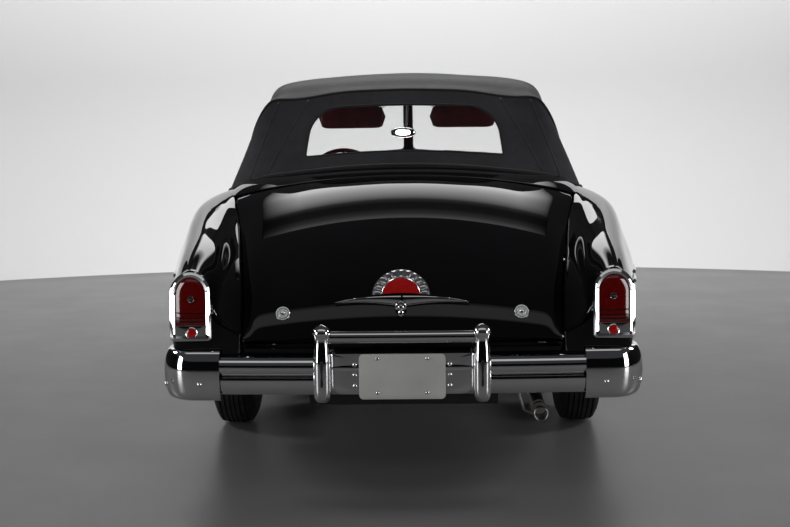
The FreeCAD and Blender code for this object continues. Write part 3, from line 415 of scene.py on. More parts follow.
def studio(radius=9.6, middle=3.9, turn=1.6, height=4.2, around=96, pale_turn=26.3):
    """A round floor that sweeps up into a wall all the way round; the wall is dark behind the camera."""
    section = [(0.02, 0.0), (3.0, 0.0), (6.0, 0.0), (radius - turn, 0.0)]
    section += [(radius - turn + turn * sin(a), turn - turn * cos(a)) for a in degrees(7.5, 90, 11)]
    section.append((radius, height))
    rows = [[Vector((r * cos(a), middle + r * sin(a), z)) for r, z in section]
            for a in degrees(0, 360, around)[:-1]]
    bm = sheet_of(rows, closed=True)
    hub = [edge for edge in bm.edges if edge.is_boundary and edge.calc_length() < 0.01]
    bmesh.ops.holes_fill(bm, edges=hub)
    outward_to(bm, UP)
    papers = []
    for name, colour, rough in STUDIO_PAPERS:
        paper = Finish(name)
        paper.set(Base_Color=(*colour, 1), Specular_IOR_Level=0.14)
        paper.feed("Roughness", paper.ramp(paper.noise(400, 3.0), rough, rough + 0.05))
        papers.append(paper.one_sided().material)
    wall, floor, dark_wall = range(3)
    room = piece("studio_room", bm, papers[wall])
    for paper in papers[1:]:
        room.data.materials.append(paper)
    for face in room.data.polygons:
        beside = atan2(abs(face.center.x), middle - face.center.y) > radians(pale_turn)
        face.material_index = floor if face.center.z < 0.02 else dark_wall if beside else wall


def softbox(name, place, aim, size, power, mirrored_by_gloss=True):
    light = bpy.data.lights.new(name, "AREA")
    light.shape, light.size, light.size_y, light.energy = "RECTANGLE", size[0], size[1], power
    made = bpy.data.objects.new(name, light)
    bpy.context.scene.collection.objects.link(made)
    made.location = place
    made.visible_camera, made.visible_glossy = False, mirrored_by_gloss
    made.rotation_euler = (Vector(aim) - Vector(place)).to_track_quat("-Z", "Y").to_euler()

# %% Tool: a glowing card
CARD_STEPS = ((0.0, 1.0), (0.565, 1.0), (0.628, 0.66), (0.694, 0.38), (0.738, 0.165), (0.757, 0.041),
              (0.798, 0.01), (0.868, 0.012), (0.937, 0.052), (0.99, 0.138))


def ceiling_card(name, front, back, half, height, strength, steps):
    """A glowing card overhead whose light fades from front to back, as a lit ceiling does."""
    rows = [[Vector((x, y, height + 0.02 * (x / half) ** 2)) for y in spread(front, back, 24)]
            for x in spread(-half, half, 12)]
    bm = outward_to(sheet_of(rows), -UP)
    glow = Finish(name + "_glow")
    apart = glow.node("ShaderNodeSeparateXYZ")
    glow.wire(glow.place, apart.inputs[0])
    share = glow.ramp(apart.outputs["Y"], 0.0, 1.0, front, back)
    ramp = glow.node("ShaderNodeValToRGB")
    for place, _ in steps[1:-1]:
        ramp.color_ramp.elements.new(place)
    for element, (place, value) in zip(ramp.color_ramp.elements, steps):
        element.position, element.color = place, (value, value, value, 1)
    glow.wire(share, ramp.inputs["Fac"])
    glow.set(Base_Color=(0.01, 0.01, 0.01, 1), Specular_IOR_Level=0.0)
    glow.feed("Emission Color", ramp.outputs["Color"])
    aside = glow.maths("ABSOLUTE", apart.outputs["X"])
    glow.feed("Emission Strength", glow.ramp(aside, strength, 0.0, half - 0.55, half))
    piece(name, bm, glow.one_sided().material)

# %% The room lit and papered
studio()
world = bpy.data.worlds.new("studio")
bpy.context.scene.world = world
world.use_nodes = True
sky = world.node_tree.nodes["Background"]
sky.inputs["Color"].default_value = (0.92, 0.94, 1.0, 1)
sky.inputs["Strength"].default_value = 0.035
ceiling_card("ceiling_card", -5.5, -1.87, 2.05, 4.6, 2.9, CARD_STEPS)
ceiling_card("tail_card", 3.3, 6.1, 3.4, 4.6, 0.42, ((0.0, 0.0), (0.2, 1.0), (0.8, 1.0), (1.0, 0.0)))
for side, x in (("left", 1), ("right", -1)):
    softbox(f"{side}_high", (5.6 * x, 1.2, 3.6), (0.6 * x, 0.6, 0.7), (1.3, 1.3), 90)
    softbox(f"{side}_behind", (5.6 * x, 6.0, 1.75), (0.6 * x, 2.0, 0.7), (2.0, 3.2), 120)
softbox("wall_wash", (0.0, -2.9, 5.8), (0.0, -5.7, 1.2), (8.0, 1.0), 440, False)
softbox("wall_middle", (0.0, -3.2, 3.9), (0.0, -5.7, 1.6), (2.6, 0.6), 52, False)
bpy.context.scene.view_settings.view_transform = "Standard"

# %% [markdown]
# ### Enamel and chrome
# Enamel is a nearly black colour under a clear coat. Real enamel is never a perfect mirror: a wide, faint
# ripple, orange peel, bends its reflections, and polishing leaves slightly duller patches.

# %% Enamel and chrome
def enamel(name, colour, rough=0.1):
    paint = Finish(name)
    paint.set(Specular_IOR_Level=0.0, Coat_Weight=1.0, Coat_Roughness=0.02, Coat_IOR=1.5)
    tone = paint.ramp(paint.noise(260, 3.0), colour, tuple(c * 1.35 + 0.0006 for c in colour))
    paint.feed("Base Color", tone)
    paint.feed("Roughness", paint.ramp(paint.noise(70, 4.0), rough * 0.8, rough * 1.5))
    paint.feed("Coat Normal", paint.bump(paint.noise(60.0, 2.0), 0.02, 0.5))
    return paint.material


def plated(name, colour, low, high, grain=45, ripple=0.006):
    metal = Finish(name)
    metal.set(Metallic=1.0)
    brighter = tuple(min(1, c * 1.06) for c in colour)
    metal.feed("Base Color", metal.ramp(metal.noise(120, 2.0), colour, brighter))
    metal.feed("Roughness", metal.ramp(metal.noise(grain, 5.0, 0.6), low, high))
    metal.bump(metal.noise(14, 2.0), ripple, 0.6)
    return metal.material


BODY_BLACK = enamel("body_black_enamel", (0.0018, 0.0018, 0.0022))
CHASSIS = enamel("chassis_satin_black", (0.012, 0.012, 0.012), 0.38)
CHROME = plated("chrome_plate", (0.84, 0.84, 0.85), 0.015, 0.055)
STEEL = plated("bare_steel", (0.42, 0.4, 0.38), 0.28, 0.5, 20, 0.03)
ENGINE_PAINT = enamel("engine_enamel", (0.03, 0.06, 0.05), 0.4)
print("metal finishes:", [m.name for m in (BODY_BLACK, CHASSIS, CHROME, STEEL, ENGINE_PAINT)])

# %% [markdown]
# ### Cloth, leather, glass and rubber
# The top is a tightly woven cloth: fine crossed threads, a soft sheen at grazing angles, and a little uneven
# tone. Leather has pebbled grain and fine creases. Glass is left almost perfect.

# %% Cloth, leather, glass and rubber
def top_cloth(name, colour):
    cloth = Finish(name)
    cloth.set(Sheen_Weight=0.25, Sheen_Roughness=0.45, Specular_IOR_Level=0.25)
    weft = cloth.node("ShaderNodeTexWave", wave_type="BANDS", bands_direction="X")
    warp = cloth.node("ShaderNodeTexWave", wave_type="BANDS", bands_direction="Y")
    for thread in (weft, warp):
        thread.inputs["Scale"].default_value = 260.0
        thread.inputs["Distortion"].default_value = 0.6
        thread.inputs["Detail"].default_value = 1.0
        cloth.wire(cloth.place, thread.inputs["Vector"])
    weave = cloth.maths("MAXIMUM", weft.outputs["Fac"], warp.outputs["Fac"])
    tone = cloth.ramp(cloth.noise(180, 6.0, 0.6), colour, tuple(c * 1.5 + 0.002 for c in colour))
    # The weave darkens the cloth's colour in the gaps between the threads: painted shade in the weave.
    shade = cloth.node("ShaderNodeMix", data_type="RGBA", blend_type="MULTIPLY")
    shade.inputs["Factor"].default_value = 0.35
    cloth.wire(tone, shade.inputs[6])
    cloth.wire(cloth.ramp(weave, (0.45, 0.45, 0.45), (1, 1, 1), 0.2, 0.8), shade.inputs[7])
    cloth.feed("Base Color", shade.outputs[2])
    cloth.feed("Roughness", cloth.ramp(cloth.noise(40, 4.0), 0.72, 0.92))
    soft = cloth.bump(cloth.noise(90, 3.0), 1.2, 0.35)
    cloth.bump(weave, 0.25, 0.5, after=soft)
    return cloth.material


def leather(name, colour):
    hide = Finish(name)
    hide.set(Specular_IOR_Level=0.45)
    cells = hide.node("ShaderNodeTexVoronoi", feature="DISTANCE_TO_EDGE")
    cells.inputs["Scale"].default_value = 420.0
    hide.wire(hide.place, cells.inputs["Vector"])
    tone = hide.ramp(hide.noise(90, 5.0), tuple(c * 0.75 for c in colour), tuple(c * 1.2 for c in colour))
    hide.feed("Base Color", tone)
    hide.feed("Roughness", hide.ramp(hide.noise(30, 4.0), 0.36, 0.56))
    pebble = hide.bump(hide.ramp(cells.outputs["Distance"], 0.0, 1.0, 0.0, 0.35), 0.25, 0.4)
    hide.bump(hide.noise(26, 6.0, 0.65), 0.6, 0.25, after=pebble)
    return hide.material

# %% Glass, lenses and rubber
def clear_glass(name, tint):
    glass = Finish(name)
    glass.set(Transmission_Weight=1.0, IOR=1.45, Roughness=0.0)
    glass.feed("Base Color", glass.ramp(glass.noise(400, 2.0), tint, tuple(min(1, c * 1.01) for c in tint)))
    return glass.material


def lens(name, colour, rough=0.06):
    plastic = Finish(name)
    plastic.set(Transmission_Weight=0.35, IOR=1.49, Coat_Weight=0.6, Coat_Roughness=0.03)
    plastic.feed("Base Color", plastic.ramp(plastic.noise(18, 3.0), colour, tuple(c * 1.3 for c in colour)))
    plastic.feed("Roughness", plastic.ramp(plastic.noise(10, 3.0), rough, rough * 2))
    return plastic.material


def rubber(name, colour, rough=0.62):
    black = Finish(name)
    black.set(Specular_IOR_Level=0.35)
    dust = black.noise(60, 6.0, 0.6)
    black.feed("Base Color", black.ramp(dust, colour, tuple(c * 1.9 + 0.006 for c in colour), 0.35, 0.75))
    black.feed("Roughness", black.ramp(black.noise(25, 4.0), rough, rough + 0.2))
    black.bump(black.noise(2.2, 3.0), 0.1, 0.5)
    return black.material

# %% The car's soft and clear finishes
TOP_CLOTH = top_cloth("black_top_cloth", (0.017, 0.017, 0.02))
TOP_BINDING = top_cloth("black_binding_cloth", (0.009, 0.009, 0.01))
MAROON_LEATHER = leather("maroon_leather", (0.16, 0.012, 0.018))
MAROON_TRIM = leather("maroon_trim_leather", (0.1, 0.01, 0.014))
CARPET = top_cloth("maroon_carpet", (0.045, 0.006, 0.008))
GLASS = clear_glass("window_glass", (0.985, 0.99, 0.985))
RED_LENS = lens("red_lamp_lens", (0.16, 0.004, 0.004))
CLEAR_LENS = lens("clear_lamp_lens", (0.78, 0.8, 0.8))
TYRE_RUBBER = rubber("tyre_rubber", (0.01, 0.01, 0.01))
SEAL_RUBBER = rubber("seal_rubber", (0.008, 0.008, 0.008), 0.5)
DASH_ENAMEL = enamel("maroon_dash_enamel", (0.05, 0.004, 0.006), 0.25)
WHEEL_PLASTIC = enamel("maroon_wheel_plastic", (0.08, 0.006, 0.009), 0.18)
print("soft finishes:", [m.name for m in (TOP_CLOTH, MAROON_LEATHER, GLASS, RED_LENS, TYRE_RUBBER)])

# %% [markdown]
# ## The lines of the body
# A stylist draws a car by a few long lines and by sections across it. Each row below is one section: its
# lowest edge, its widest line, its shoulder, its crest, and the valley where hood or deck begins.

# %% The side's lines, in millimetres
SIDE_LINES = ("bottom", "widest", "shoulder", "crest", "inner", "valley")
SIDE_TABLE = (
    (-2490, 825, 400, 905, 640, 880, 800, 745, 893, 651, 884, 560, 862),
    (-2250, 870, 330, 948, 620, 908, 822, 778, 917, 684, 919, 590, 908),
    (-1750, 902, 290, 966, 612, 925, 845, 800, 945, 720, 953, 640, 950),
    (-1250, 905, 285, 972, 612, 930, 858, 815, 958, 753, 971, 690, 976),
    (-880, 905, 285, 973, 612, 932, 864, 832, 962, 778, 977, 722, 985),
    (-200, 905, 285, 975, 612, 935, 868, 848, 964, 799, 980, 748, 990),
    (500, 905, 285, 976, 615, 936, 868, 852, 970, 806, 988, 756, 1000),
    (1000, 905, 285, 976.5, 622, 940, 880, 856, 1000, 812, 1020, 765, 1034),
    (1400, 905, 290, 975, 636, 936, 900, 842, 1030, 798, 1046, 749, 1052),
    (1700, 898, 310, 960, 645, 912, 892, 822, 1002, 760, 1000, 694, 972),
    (2000, 868, 345, 916, 655, 880, 862, 800, 950, 724, 926, 648, 862),
    (2300, 832, 400, 868, 665, 848, 828, 782, 893, 704, 842, 609, 732),
    (2480, 815, 470, 848, 660, 829, 790, 774, 846, 702, 740, 592, 606),
)


def lines_of(table, names):
    """One smooth line for each named column of a table whose first column is the station."""
    return {name: Line([row[0] for row in table], [row[k] for row in table])
            for k, name in enumerate(names, 1)}


SIDE = lines_of(SIDE_TABLE, [(name, axis) for name in SIDE_LINES for axis in "xz"])


def side_at(y, name):
    """A point of one of the side's lines at y, all in metres."""
    mm = y * 1000
    return Vector((SIDE[name, "x"].at(mm) / 1000, y, SIDE[name, "z"].at(mm) / 1000))


BULGE = {"bottom": 0.055, "widest": 0.075, "shoulder": 0.14}


def bulge_at(line, y):
    """How far the skin stands out between two lines; the tail turns the inner side into an upright pod."""
    pod = min(max((y - 1.7) / 0.78, 0.0), 1.0)
    return {"crest": 0.02 + 0.13 * pod, "inner": 0.02 - 0.14 * pod}.get(line) or BULGE[line]


def side_section(y):
    """The left side's outline at y from its lowest edge up to the valley."""
    known = [side_at(y, SIDE_LINES[0])]
    for low, high in zip(SIDE_LINES, SIDE_LINES[1:]):
        a, b = known[-1], side_at(y, high)
        middle = (a + b) / 2 + bulge_at(low, y) * Vector((b.z - a.z, 0, a.x - b.x))
        known += [middle, b]
    return through(known, (9, 9, 8, 8, 6, 6, 5, 5, 5, 5))


print("side width at the rear wheel:", round(2 * side_at(1.247, "widest").x, 3), "m")

# %% [markdown]
# ### Side panels
# Fender, door, sill and quarter are each a sheet made from the same sections, cut along real joints. Because
# all share one set of sections, the highlight runs unbroken across the gaps.

# %% Side sheet and its wheel openings
FRONT_AXLE, REAR_AXLE, AXLE_Z = -1.75, 1.247, 0.352
DOOR_FRONT, DOOR_REACH, DOOR_AXIS_X = -0.88, 1.38, 0.976


def side_sheet(low, high, step=0.014):
    many = max(2, round((high - low) / step))
    return sheet_of([side_section(y) for y in spread(low, high, many)], flip=True)


def door_reach(point):
    return hypot(point.x - DOOR_AXIS_X, point.y - DOOR_FRONT)


def front_arch(point):
    return hypot(point.y - FRONT_AXLE, point.z - AXLE_Z + 0.004) - 0.384


def rear_arch(point):
    return hypot(point.y - REAR_AXLE, point.z - AXLE_Z + 0.118) - 0.398


PANEL_METAL, PANEL_ANGLE = 0.0015, 50


def pressed(name, bm, body, node):
    """A body panel in enamel with the thickness of its metal, riding on a body in place of a node."""
    made = piece(name, bm, BODY_BLACK)
    thicken(made, PANEL_METAL)
    made.data.set_sharp_from_angle(angle=radians(PANEL_ANGLE))
    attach(made, body)
    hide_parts(node)
    return made


def both_sides(node, bm, body="chassis"):
    """A side's panel and its mirror image; a door rides on the body of its own side."""
    other = mirror_copy(bm)
    made = [pressed(f"{node}_skin_{side}", mesh, body.format(side), f"{node}_{side}")
            for side, mesh in (("left", bm), ("right", other))]
    print(node, "faces:", len(made[0].data.polygons))

# %% [markdown]
# The fender's nose and the quarter's tail are closed by pulling the outline in towards the lamp that sits
# there. Each point slides towards the lamp's own outline, on a rounded path, so no seam shows.

# %% Tools: a lamp's outline and the end that closes on it
def ring_hit(outline, centre, angle):
    """Where a ray from centre meets a closed outline of (x, z) points."""
    dx, dz = cos(angle), sin(angle)
    for (x0, z0), (x1, z1) in zip(outline, outline[1:] + outline[:1]):
        ex, ez = x1 - x0, z1 - z0
        wx, wz = x0 - centre[0], z0 - centre[1]
        det = dx * ez - dz * ex
        if abs(det) < 1e-12:
            continue
        far, share = (wx * ez - wz * ex) / det, (wx * dz - wz * dx) / det
        if far > 0 and -1e-9 <= share <= 1 + 1e-9:
            return centre[0] + far * dx, centre[1] + far * dz
    return outline[0]


def closing_rows(loop, outline, centre, towards, radius, reach, steps=10):
    """Rows that round a closed loop over by radius and run on to a lamp's outline, reach further on."""
    rows = [list(loop)]
    targets = []
    for p in loop:
        x, z = ring_hit(outline, centre, atan2(p.z - centre[1], p.x - centre[0]))
        targets.append(Vector((x, p.y, z)))
    for k in range(1, steps + 1):
        a = pi / 2 * k / steps
        row = []
        for p, target in zip(loop, targets):
            pull = target - p
            inward = pull.normalized() * min(radius, pull.length)
            row.append(p + inward * (1 - cos(a)) + Vector((0, towards * radius * sin(a), 0)))
        rows.append(row)
    last = rows[-1]
    for k in range(1, steps + 1):
        f = k / steps
        bow = sin(f * pi / 2)
        rows.append([p.lerp(Vector((t.x, p.y, t.z)), f) + Vector((0, towards * reach * bow, 0))
                     for p, t in zip(last, targets)])
    return rows


def arch_outline(low, high, half, middle, many=40):
    """A tombstone outline, round at the top and softly cornered at the foot, as (x, z) points."""
    points = []
    for k in range(many + 1):
        a = pi * k / many
        points.append((middle + half * cos(a), high - half * 1.28 + half * 1.28 * sin(a) ** 0.92))
    foot = 0.024
    for k in range(9):
        a = pi / 2 * k / 8
        points.append((middle - half * 0.985 + foot * (1 - cos(a)), low + foot * (1 - sin(a))))
    for k in range(9):
        a = pi / 2 * k / 8
        points.append((middle + half * 0.985 - foot * (1 - sin(a)), low + foot * (1 - cos(a))))
    return points

# %% Front fenders
LAMP = (0.722, 0.772)
LAMP_RING = [(LAMP[0] + 0.11 * cos(a), LAMP[1] + 0.11 * sin(a))
             for a in (2 * pi * k / 72 for k in range(72))]


def nose_loop(y):
    outer = side_section(y)
    valley, bottom = outer[-1], outer[0]
    inner = [valley, Vector((0.556, y, 0.8)), Vector((0.556, y, 0.55)), Vector((0.6, y, 0.425)), bottom]
    return outer + through(inner, (4, 10, 8, 12))[1:-1]


def front_fender():
    bm = side_sheet(-2.49, -0.886)
    rows = closing_rows(nose_loop(-2.49), LAMP_RING, LAMP, -1, 0.03, 0.012)
    merge_into(bm, sheet_of([row + row[:1] for row in rows]))
    outward(bm)
    cut_by(bm, front_arch)
    return turn_edges(bm, 0.0015, 0.016)


both_sides("front_fender", front_fender())

# %% Doors and sills
def door_place(p, share):
    """Puts a point of a door on its arc, so that the rear edge clears the quarter."""
    reach = sqrt(max(0.0, DOOR_REACH**2 - (p.x - DOOR_AXIS_X) ** 2))
    return Vector((p.x, DOOR_FRONT + reach * share, p.z))


def door_skin():
    rows = [[door_place(p, share) for p in side_section(DOOR_FRONT + DOOR_REACH * share)]
            for share in spread(0, 1, 98)]
    bm = sheet_of(rows, flip=True)
    cut_by(bm, lambda p: p.z - 0.33)
    return turn_edges(bm, 0.0015, 0.03)


def sill_skin():
    bm = side_sheet(-0.88, 0.494, 0.02)
    cut_by(bm, lambda p: 0.324 - p.z)
    return turn_edges(bm, 0.0015, 0.02)


both_sides("door", door_skin(), "door_{}")
both_sides("sill", sill_skin())

# %% Rear quarters
TAIL_CENTRE = (0.774, 0.7)
TAIL_OUTLINE = arch_outline(0.588, 0.838, 0.0725, 0.774)


def tail_loop(y):
    outer = side_section(y)
    valley, bottom = outer[-1], outer[0]
    inner = [valley, Vector((0.596, y, 0.54)), Vector((0.606, y, 0.482)), bottom]
    return outer + through(inner, (6, 6, 8))[1:-1]


def rear_quarter():
    bm = side_sheet(0.4, 2.48)
    rows = closing_rows(tail_loop(2.48), TAIL_OUTLINE, TAIL_CENTRE, 1, 0.012, 0.003)
    merge_into(bm, sheet_of([row + row[:1] for row in rows], flip=True))
    outward(bm)
    cut_by(bm, lambda p: door_reach(p) - DOOR_REACH - 0.006)
    cut_by(bm, rear_arch)
    return turn_edges(bm, 0.0015, 0.018)


both_sides("rear_quarter", rear_quarter())

# %% [markdown]
# ## Hood, cowl and deck
# These panels close the body between the valleys. Each section runs from one valley over a brow to the
# crown on the centre line, so hood and deck keep a soft ridge above the fenders.

# %% Lines of the hood and the deck, in millimetres
HOOD_TABLE = (
    (-2545, 752, 0.72, 744), (-2500, 836, 0.72, 822), (-2400, 906, 0.74, 890), (-2250, 952, 0.75, 932),
    (-1750, 1030, 0.76, 1003), (-1250, 1062, 0.78, 1030), (-1040, 1074, 0.78, 1040),
    (-800, 1086, 0.78, 1048))
DECK_TABLE = (
    (1180, 1160, 0.8, 1108), (1310, 1150, 0.8, 1096), (1400, 1139, 0.805, 1082), (1475, 1121.5, 0.81, 1061),
    (1560, 1098.5, 0.82, 1038), (1700, 1058, 0.84, 997), (1900, 995, 0.86, 934), (2100, 920, 0.87, 862),
    (2300, 820, 0.88, 772), (2410, 740, 0.88, 706), (2470, 666, 0.88, 644), (2500, 592, 0.88, 588))


class Ridge:
    """The crown line of hood or deck, followed by distance along it, so that it may turn straight down."""

    def __init__(self, table):
        self.marks = [0.0]
        for a, b in zip(table, table[1:]):
            self.marks.append(self.marks[-1] + hypot(b[0] - a[0], b[1] - a[1]))
        self.line = {name: Line(self.marks, [row[k] for row in table])
                     for k, name in enumerate(("y", "crown", "share", "brow"))}

    def at(self, name, mark):
        return self.line[name].at(mark)

    def mark_of(self, y):
        """The distance along the crown at which it passes y."""
        return halved(self.marks[0], self.marks[-1], lambda mark: self.at("y", mark) < y * 1000, 40)


HOOD, DECK = Ridge(HOOD_TABLE), Ridge(DECK_TABLE)
ROLL_START = 0.86
LID_FRONT = 1.475


print("hood and deck lines run", [round(ridge.marks[-1]) for ridge in (HOOD, DECK)], "mm along the crown")

# %% Panels over the crown: hood, cowl, deck surround and lid
def crown_section(ridge, mark, inset, many=44):
    """Points from the left edge over the crown to the right edge, at a distance along the crown."""
    y = ridge.at("y", mark) / 1000
    valley = side_at(y, "valley")
    share = ridge.at("share", mark)
    brow, crown = ridge.at("brow", mark) / 1000, ridge.at("crown", mark) / 1000
    bow = (crown - brow) * ROLL_START / share**2
    roll = crown - bow - min(valley.z, brow - 0.004)
    inset = inset(y) if callable(inset) else inset
    half = []
    for k in range(many + 1):
        far = sin(pi / 2 * (1 - k / many))
        lift = bow * far**2 + roll * max(0.0, (far - ROLL_START) / (1 - ROLL_START)) ** 3
        half.append(Vector((far * (valley.x - inset), y, crown - lift)))
    return mirrored(half)


def crown_sheet(ridge, low, high, inset, step=14.0):
    start, stop = ridge.mark_of(low), ridge.mark_of(high)
    marks = spread(start, stop, max(2, round((stop - start) / step)))
    return sheet_of([crown_section(ridge, mark, inset) for mark in marks])


def lid_edge(y):
    """The lid's gap to the valley, wider at its rounded front corners."""
    return 0.0065 + 0.022 * max(0.0, 1 - (y - LID_FRONT) / 0.1) ** 2


for node, body, ridge, low, high, inset, flange in (
        ("hood", "hood", HOOD, -2.545, -1.04, 0.0065, 0.03),
        ("cowl", "chassis", HOOD, -1.034, -0.8, 0.005, 0.02),
        ("deck_surround", "chassis", DECK, 1.18, LID_FRONT - 0.006, 0.001, 0.02),
        ("deck_lid", "deck_lid", DECK, LID_FRONT, 2.5, lid_edge, 0.028)):
    bm = outward_to(crown_sheet(ridge, low, high, inset), UP)
    pressed(node + "_skin", turn_edges(bm, 0.0015, flange), body, node)

# %% [markdown]
# ### Mouldings, tubes and turned pieces
# Binding, weatherstrip, bright trim, window frames, wiper arms and cables are all one section carried
# along a line. Knobs, caps, bezels and bolts are one outline turned about an axis. These two tools cover
# most of the small pieces on the car.

# %% Tools: mouldings along a line and turned pieces
def moulding(points, ups, outline, closed=False):
    """A section of (across, up) points carried along a line; ups say which way is up at each point."""
    many = len(points)
    rows = []
    for i, (point, up) in enumerate(zip(points, ups)):
        if closed:
            along = (points[(i + 1) % many] - points[i - 1]).normalized()
        else:
            along = (points[min(i + 1, many - 1)] - points[max(i - 1, 0)]).normalized()
        across = along.cross(up).normalized()
        straight = across.cross(along).normalized()
        row = [point + across * a + straight * u for a, u in outline]
        rows.append(row + row[:1])
    return closed_up(sheet_of(rows, closed=closed), ends=not closed)


def round_section(radius, many=10):
    return [(radius * cos(a), radius * sin(a)) for a in degrees(0, 360, many)[:-1]]


def bead(half, high, sink=0.001, many=8):
    """A low domed section, flat underneath: trim strip, welt or binding."""
    return [(half * cos(a), high * sin(a)) for a in degrees(0, 180, many)] + [(-half, -sink), (half, -sink)]


def tube(points, radius, closed=False, many=10):
    """A round rod or cable through points."""
    points = [Vector(point) for point in points]
    ups, up = [], UP
    for i in range(len(points)):
        along = (points[min(i + 1, len(points) - 1)] - points[max(i - 1, 0)]).normalized()
        if abs(along.dot(up)) > 0.94:
            up = along.orthogonal().normalized()
        up = (up - along * up.dot(along)).normalized()
        ups.append(up.copy())
    return moulding(points, ups, round_section(radius, many), closed)

# %% Tools: turned pieces and fitting them
TIP = 0.00001


def spun(outline, centre, axis, steps=48):
    """(along, radius) points turned about an axis through centre; it closes where the radius is TIP."""
    centre, axis = Vector(centre), Vector(axis).normalized()
    side = axis.orthogonal().normalized()
    other = axis.cross(side)
    arms = [side * cos(a) + other * sin(a) for a in degrees(0, 360, steps)[:-1]]
    rows = [[centre + axis * along + arm * r for along, r in outline] for arm in arms]
    return outward(sheet_of(rows, closed=True))


def dome_bolt(centre, axis, radius, high):
    arc = [(high * sin(a), radius * cos(a)) for a in degrees(0, 75, 5)]
    return spun([(-0.002, radius), (0, radius)] + arc[1:] + [(high, TIP)], centre, axis, 20)


def both_hands(bm):
    """A piece of the left side together with its mirror image."""
    return merge_into(bm, mirror_copy(bm))


def fitted(name, bm, material, body="chassis", replaces=(), angle=40):
    """A finished piece that rides on a body and stands for CAD nodes where it says so."""
    made = piece(name, bm, material, angle=angle)
    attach(made, body)
    for node in replaces:
        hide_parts(node)
    return made


print("tools ready: moulding, tube, spun")

# %% [markdown]
# ## The soft top
# The cloth is one sheet, stretched from the windshield header over four bows and down to the deck. It
# touches the bows and sags a little between them, creases at the seam behind the last bow, and is pulled
# into long shallow folds at the rear corners. The sheet is made from sections like the CAD's, and cut for
# the side windows and for the rear window.

# %% Lines of the soft top, in millimetres
TOP_NAMES = [(name, axis) for name in ("foot", "side", "rail", "brow") for axis in "xz"] + [("crown", "z")]
ROOF_TABLE = (
    (-720, 762, 960, 700, 1200, 640, 1400, 530, 1438, 1470),
    (-450, 764, 970, 704, 1200, 664, 1405, 545, 1480, 1520),
    (-100, 765, 985, 708, 1202, 682, 1412, 555, 1518, 1558),
    (300, 768, 995, 712, 1205, 690, 1415, 560, 1534, 1574),
    (600, 771, 1005, 716, 1208, 672, 1412, 552, 1524, 1560),
    (850, 777, 1012, 722, 1210, 655, 1404, 544, 1488, 1526),
    (1000, 783, 1030, 728, 1195, 657, 1392, 540, 1450, 1491))
SEAM_Y = 1.0
TOP = lines_of(ROOF_TABLE, TOP_NAMES)
BOWS = (-330, 40, 430, 780)
TOP_STEPS = (16, 14, 6, 6, 8, 8, 8)
MIDDLE = sum(TOP_STEPS)


def top_half(y, inset=0.0):
    """The left half of the roof's section at y, foot to middle; inset is for what lies underneath."""
    def known(name, across=0.0, down=0.0):
        x, z = (TOP[name, axis].at(y * 1000) / 1000 if (name, axis) in TOP else 0.0 for axis in "xz")
        return Vector((x - across, y, z - down))

    foot, side = known("foot", inset), known("side", inset)
    rail, brow, crown = known("rail", inset, 0.6 * inset), known("brow", 0, inset), known("crown", 0, inset)
    turn = (rail + brow) / 2 + 0.19 * Vector((brow.z - rail.z, 0, rail.x - brow.x))
    rise = crown.z - brow.z
    first = Vector((brow.x * 0.62, y, brow.z + rise * 0.6))
    second = Vector((brow.x * 0.3, y, brow.z + rise * 0.91))
    return through([foot, side, rail, turn, brow, first, second, crown], TOP_STEPS)


print("roof stands", round(TOP["crown", "z"].at(300)), "mm high over the middle bows")

# %% The curtain behind the last bow, and its slack
# The curtain is straight from its seam on the last bow down to its hem on the deck. Each pair of points
# is a place along the seam, as a share of the section above, and the place of the hem below it.
HEM = ((0.792, 0.985, 1.03), (0.79, 1.06, 1.046), (0.78, 1.115, 1.056), (0.74, 1.17, 1.066),
       (0.655, 1.235, 1.088), (0.52, 1.285, 1.112), (0.3, 1.308, 1.138), (0.0, 1.312, 1.154))
HEM_LINE = [Line((0, 16, 30, 34, 42, 50, 58, MIDDLE), [point[k] for point in HEM]) for k in range(3)]
SEAM_LINE = top_half(SEAM_Y)
HEM_EDGE = [Vector(line.at(k) for line in HEM_LINE) for k in range(MIDDLE + 1)]
CURTAIN_STEPS, PAST_HEM = 40, 0.06


def curtain_rows():
    """Rows from the seam to the hem, run a little past it so that the cut falls on cloth."""
    return [mirrored([p.lerp(hem, share) for p, hem in zip(SEAM_LINE, HEM_EDGE)])
            for share in spread(0, 1 + PAST_HEM, CURTAIN_STEPS)]


def slack(p):
    """How far the cloth lies under its straight pull: sag between bows and folds at the corners."""
    mm = p.y * 1000
    sink = 0.0
    over = min(max((p.z - 1.4) / 0.06, 0), 1)
    ends = (-700,) + BOWS + (985,)
    for low, high in zip(ends, ends[1:]):
        if low < mm < high:
            sink += over * 0.0045 * sin(pi * (mm - low) / (high - low)) ** 2
    around = min(max((mm - 860) / 200, 0), 1) * min(max((1.42 - p.z) / 0.1, 0), 1)
    corner = min(max((abs(p.x) - 0.5) / 0.12, 0), 1)
    run = (abs(p.x) - 0.6) * 1.0 + (p.z - 1.2) * 0.3
    fold = sin(run * 58 + 2.0 * noise.noise(p * 3.0)) * noise.noise(p * 4.0 + Vector((3, 1, 7)))
    sink += around * corner * 0.004 * fold
    sink += 0.0015 * noise.noise(p * 6.0) * over
    return sink


def sagged(p):
    """A point of the cloth pressed in by its slack."""
    inward = Vector((-p.x, 0.0 if p.y < SEAM_Y else -0.6 * (p.y - SEAM_Y), 0.9 - p.z)).normalized()
    return p + inward * slack(p)


print("curtain falls", round(length_of([SEAM_LINE[-1], HEM_EDGE[-1]]), 3), "m down the middle")

# %% Openings: side windows, windshield, deck and rear window
OPENING_BACK, OPENING_TOP, OPENING_CORNER = 0.917, 1.401, 1.33


